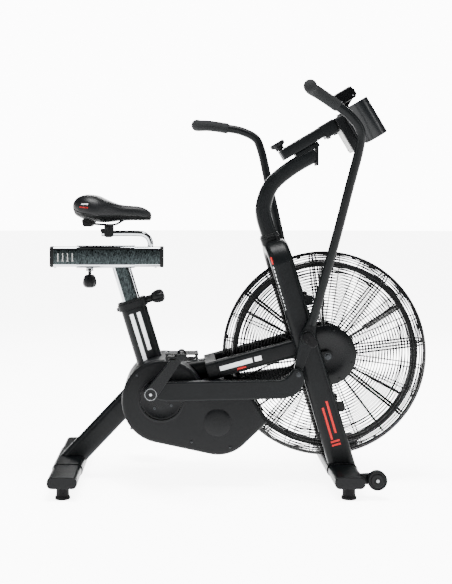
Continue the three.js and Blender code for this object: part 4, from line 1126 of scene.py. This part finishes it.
def saddle():
    dense = spline([(x, half, top) for x, half, top, _, _ in SADDLE], 3)
    lower = spline([(x, middle, bottom) for x, _, _, middle, bottom in SADDLE], 3)
    stations = [(a[0], a[1], a[2], b[1], b[2]) for a, b in zip(dense, lower)]
    bm = bmesh.new()
    rings = [[bm.verts.new(p) for p in saddle_ring(s, 49, -math.pi / 2, 1.5 * math.pi)[:-1]]
             for s in stations]
    skin(bm, rings)
    for ring, shift in ((rings[0], -4), (rings[-1], 2)):
        inset = []
        centre = sum((v.co for v in ring), Vector()) / len(ring)
        for v in ring:
            p = centre.lerp(v.co, 0.5)
            p.x += shift
            inset.append(bm.verts.new(p))
        skin(bm, [ring, inset])
        bm.faces.new(inset)
    top = stand_in("saddle", "saddle", "saddle_vinyl", VINYL, bm, limit=80)
    subdivide = top.modifiers.new("smooth", "SUBSURF")
    subdivide.levels = subdivide.render_levels = 1

    bm = bmesh.new()
    rings = []
    for s in stations[2:-1]:
        outline = saddle_ring(s, 25, math.radians(196), math.radians(344), 0.9)
        rings.append([bm.verts.new(p) for p in outline])
    sheet(bm, rings)
    bmesh.ops.solidify(bm, geom=bm.faces[:], thickness=2.0)
    piece("saddle_base", "saddle", "moulded_plastic", PLASTIC, bm, limit=60)

    bm = bmesh.new()
    for mirrored in (1, -1):
        path = []
        for s in stations[2:-3]:
            x, y, z = saddle_ring(s, 2, math.radians(196), math.radians(197), 1.2)[0]
            path.append(Vector((x, y * mirrored, z)))
        sweep(bm, path, circle(1.3, 8))
    piece("saddle_piping", "saddle", "moulded_plastic", SATIN, bm)

    for name, level, x0, x1, wide, material in (("saddle_light_mark", 158, -536, -504, 5, WHITE_PRINT),
                                                ("saddle_red_mark", 170, -540, -508, 3.5, RED_PRINT)):
        bm = bmesh.new()
        for mirrored in (1, -1):
            rows = []
            for s in stations:
                if not x0 <= s[0] <= x1:
                    continue
                ends = saddle_ring(s, 4, math.radians(level), math.radians(level + wide), 0.35)
                rows.append([bm.verts.new((x, y * mirrored, z)) for x, y, z in ends])
            sheet(bm, rows)
        bmesh.ops.solidify(bm, geom=bm.faces[:], thickness=0.3)
        piece(name, "saddle", "saddle_vinyl", material, bm)


# ---------------------------------------------------------------- console
BOOM_END = Vector((343, 1222))
BOOM_U = Vector((193, 114)).normalized()
BOOM_V = Vector((BOOM_U.y, -BOOM_U.x))


def on_boom(u, v):
    """Point in the XZ plane: u along the boom from its upper end, v down from its middle line."""
    return BOOM_END + BOOM_U * u + BOOM_V * v


def block(bm, u0, u1, v0, v1, y0, y1, corner=3.0, steps=4):
    """Box with rounded corners, square to the boom."""
    middle = (v0 + v1) / 2
    tube(bm, on_boom(u0, middle), on_boom(u1, middle), v1 - v0, y1 - y0, corner, (y0 + y1) / 2, steps=steps)


def console():
    up = -at(BOOM_V)
    along = at(BOOM_U)
    bm = bmesh.new()
    block(bm, -218, -8, -18.5, 18.5, -30, 30, 6)
    block(bm, -200, -66, -19.6, -17, -16, 16, 1, 1)
    block(bm, -62, -12, -21.5, 28.5, -33, 33, 7)
    stand_in("console_boom", "boom", "powder_coat", POWDER, bm, 1.2)
    bm = bmesh.new()
    block(bm, -224, -217, -18, 18, -29.5, 29.5, 6)
    piece("boom_cap", "boom", "moulded_plastic", SMOKE, bm, 1.6)
    bm = bmesh.new()
    for u in (-50, -24):
        for y in (-18, 18):
            hex_bolt(bm, at(on_boom(u, 28.5), y), at(BOOM_V), 4.5, 4)
    piece("boom_bolts", "boom", "zinc_steel", BOLT, bm, 0.4)
    bm = bmesh.new()
    profile = [(0, -8), (6, -8), (6, 0.5), (14, 0.5), (15, 3), (15, 9), (17, 12), (25, 16),
               (26.5, 19), (27, 25), (24.5, 29), (23, 29.5), (18, 26), (8, 24.5), (0, 24.5)]
    lathe(bm, profile, at(on_boom(-215, -18.5)), up, 72, lobes=8, depth=2.5)
    stand_in("boom_knob", "boom_knob", "moulded_plastic", PLASTIC, bm, 0.5, limit=50)

    bm = bmesh.new()
    block(bm, -7.5, 28.5, -18.5, 114, -52, 52, 9, 6)
    block(bm, 20, 56, 8, 84, -72, -38, 4)
    block(bm, 20, 70, -24, -6, 20, 56, 4)
    hinge = on_boom(62, -36)
    foot = on_boom(62, -15)
    for near, far in ((20, 27), (49, 56)):
        extrude(bm, hull([(hinge.x, hinge.y, 8), (foot.x, foot.y, 8)]), near, far)
    rod(bm, 4, 18, 58, hinge.x, hinge.y, 24)
    stand_in("console_housing", "boom", "moulded_plastic", PLASTIC, bm, 2.2)
    bm = bmesh.new()
    block(bm, -9.2, -7, 24, 110, -45, 45, 5)
    piece("console_panel", "boom", "moulded_plastic", GREY, bm, 0.6)
    bm = bmesh.new()
    for v in (32, 102):
        for y in (-38, 38):
            screw(bm, at(on_boom(-9.2, v), y), -along, 3.2, 1.4)
    piece("panel_screws", "boom", "zinc_steel", STEEL, bm, 0.2)

    bm = bmesh.new()
    profile = [(0, 0), (37, 0), (40, 1), (41, 4), (41, 138), (38.5, 138), (38.5, 6), (0, 6)]
    lathe(bm, profile, at(on_boom(81.7, 110), -55), up, 96)
    stand_in("bottle_holder", "boom", "moulded_plastic", CUP, bm, 0.7)

    bm = bmesh.new()
    outline = [(38, -86), (102, -86), (109, -72), (109, -55), (100, -45), (44, -45), (36, -62)]
    points = [tuple(on_boom(u, v)) for u, v in outline]
    extrude(bm, points, -12, 92)
    for y in (-3, 33, 69):
        block(bm, 37, 107, -87, -60, y, y + 14, 5, 3)
    roots = [on_boom(88, -50), on_boom(62, -56)]
    extrude(bm, hull([(hinge.x, hinge.y, 8), *[(p.x, p.y, 8) for p in roots]]), 28, 48)
    stand_in("display_pod", "display", "gloss_plastic", GLOSS, bm, 2.2)
    bm = bmesh.new()
    for u, v in ((50, -54), (95, -54)):
        screw(bm, at(on_boom(u, v), -12), (0, -1, 0), 2.6, 1.2)
    piece("display_screws", "display", "zinc_steel", STEEL, bm, 0.2)
    bm = bmesh.new()
    block(bm, 46, 98, -88.2, -86, -6, 70, 2, 3)
    piece("display_glass", "display", "gloss_plastic", GLASS, bm, 0.3)
    bm = bmesh.new()
    strokes = [(u, 0, 1.2, 8) for u in (1, 6.5, 12)]
    strokes += [(u, y, 4, 1.2) for u in (3.75, 9.25) for y in (-4, 4)]
    for row in (53, 77):
        for digit in range(4):
            for du, dy, long, wide in strokes:
                u = row + du
                y = 4 + digit * 16 + dy
                block(bm, u - long / 2, u + long / 2, -88.5, -88, y - wide / 2, y + wide / 2, 0.2, 1)
    piece("display_digits", "display", "gloss_plastic", SEGMENTS, bm)
    bm = bmesh.new()
    button = [(0, -3.5), (6, -3.5), (6, 1), (5.2, 2.2), (4, 2.4), (0, 1.8)]
    lathe(bm, button, at(on_boom(78, -86), 80), up, 32)
    stand_in("display_button", "button", "black_rubber", RUBBER, bm, 0.3, limit=50)


# ---------------------------------------------------------------- nodes kept from the frame
KEPT = {
    "bottom_bracket_shell": POWDER, "fan_pulley": STEEL, "fan_drive_pulley": ALUMINIUM, "jackshaft": STEEL,
    "drive_pulley": ALUMINIUM, "fan_belt": RUBBER, "drive_belt": RUBBER,
}


def keep_hidden_drive():
    for name, material in KEPT.items():
        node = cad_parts[name]
        if not node.material_slots:
            node.data.materials.append(material)
        for entry in node.material_slots:
            entry.link = "OBJECT"
            entry.material = material


make_camera()
make_studio()
base()
frame_tubes()
prints()
covers()
cage()
fan()
drive()
handles()
seat()
console()
keep_hidden_drive()

bpy.context.view_layer.update()
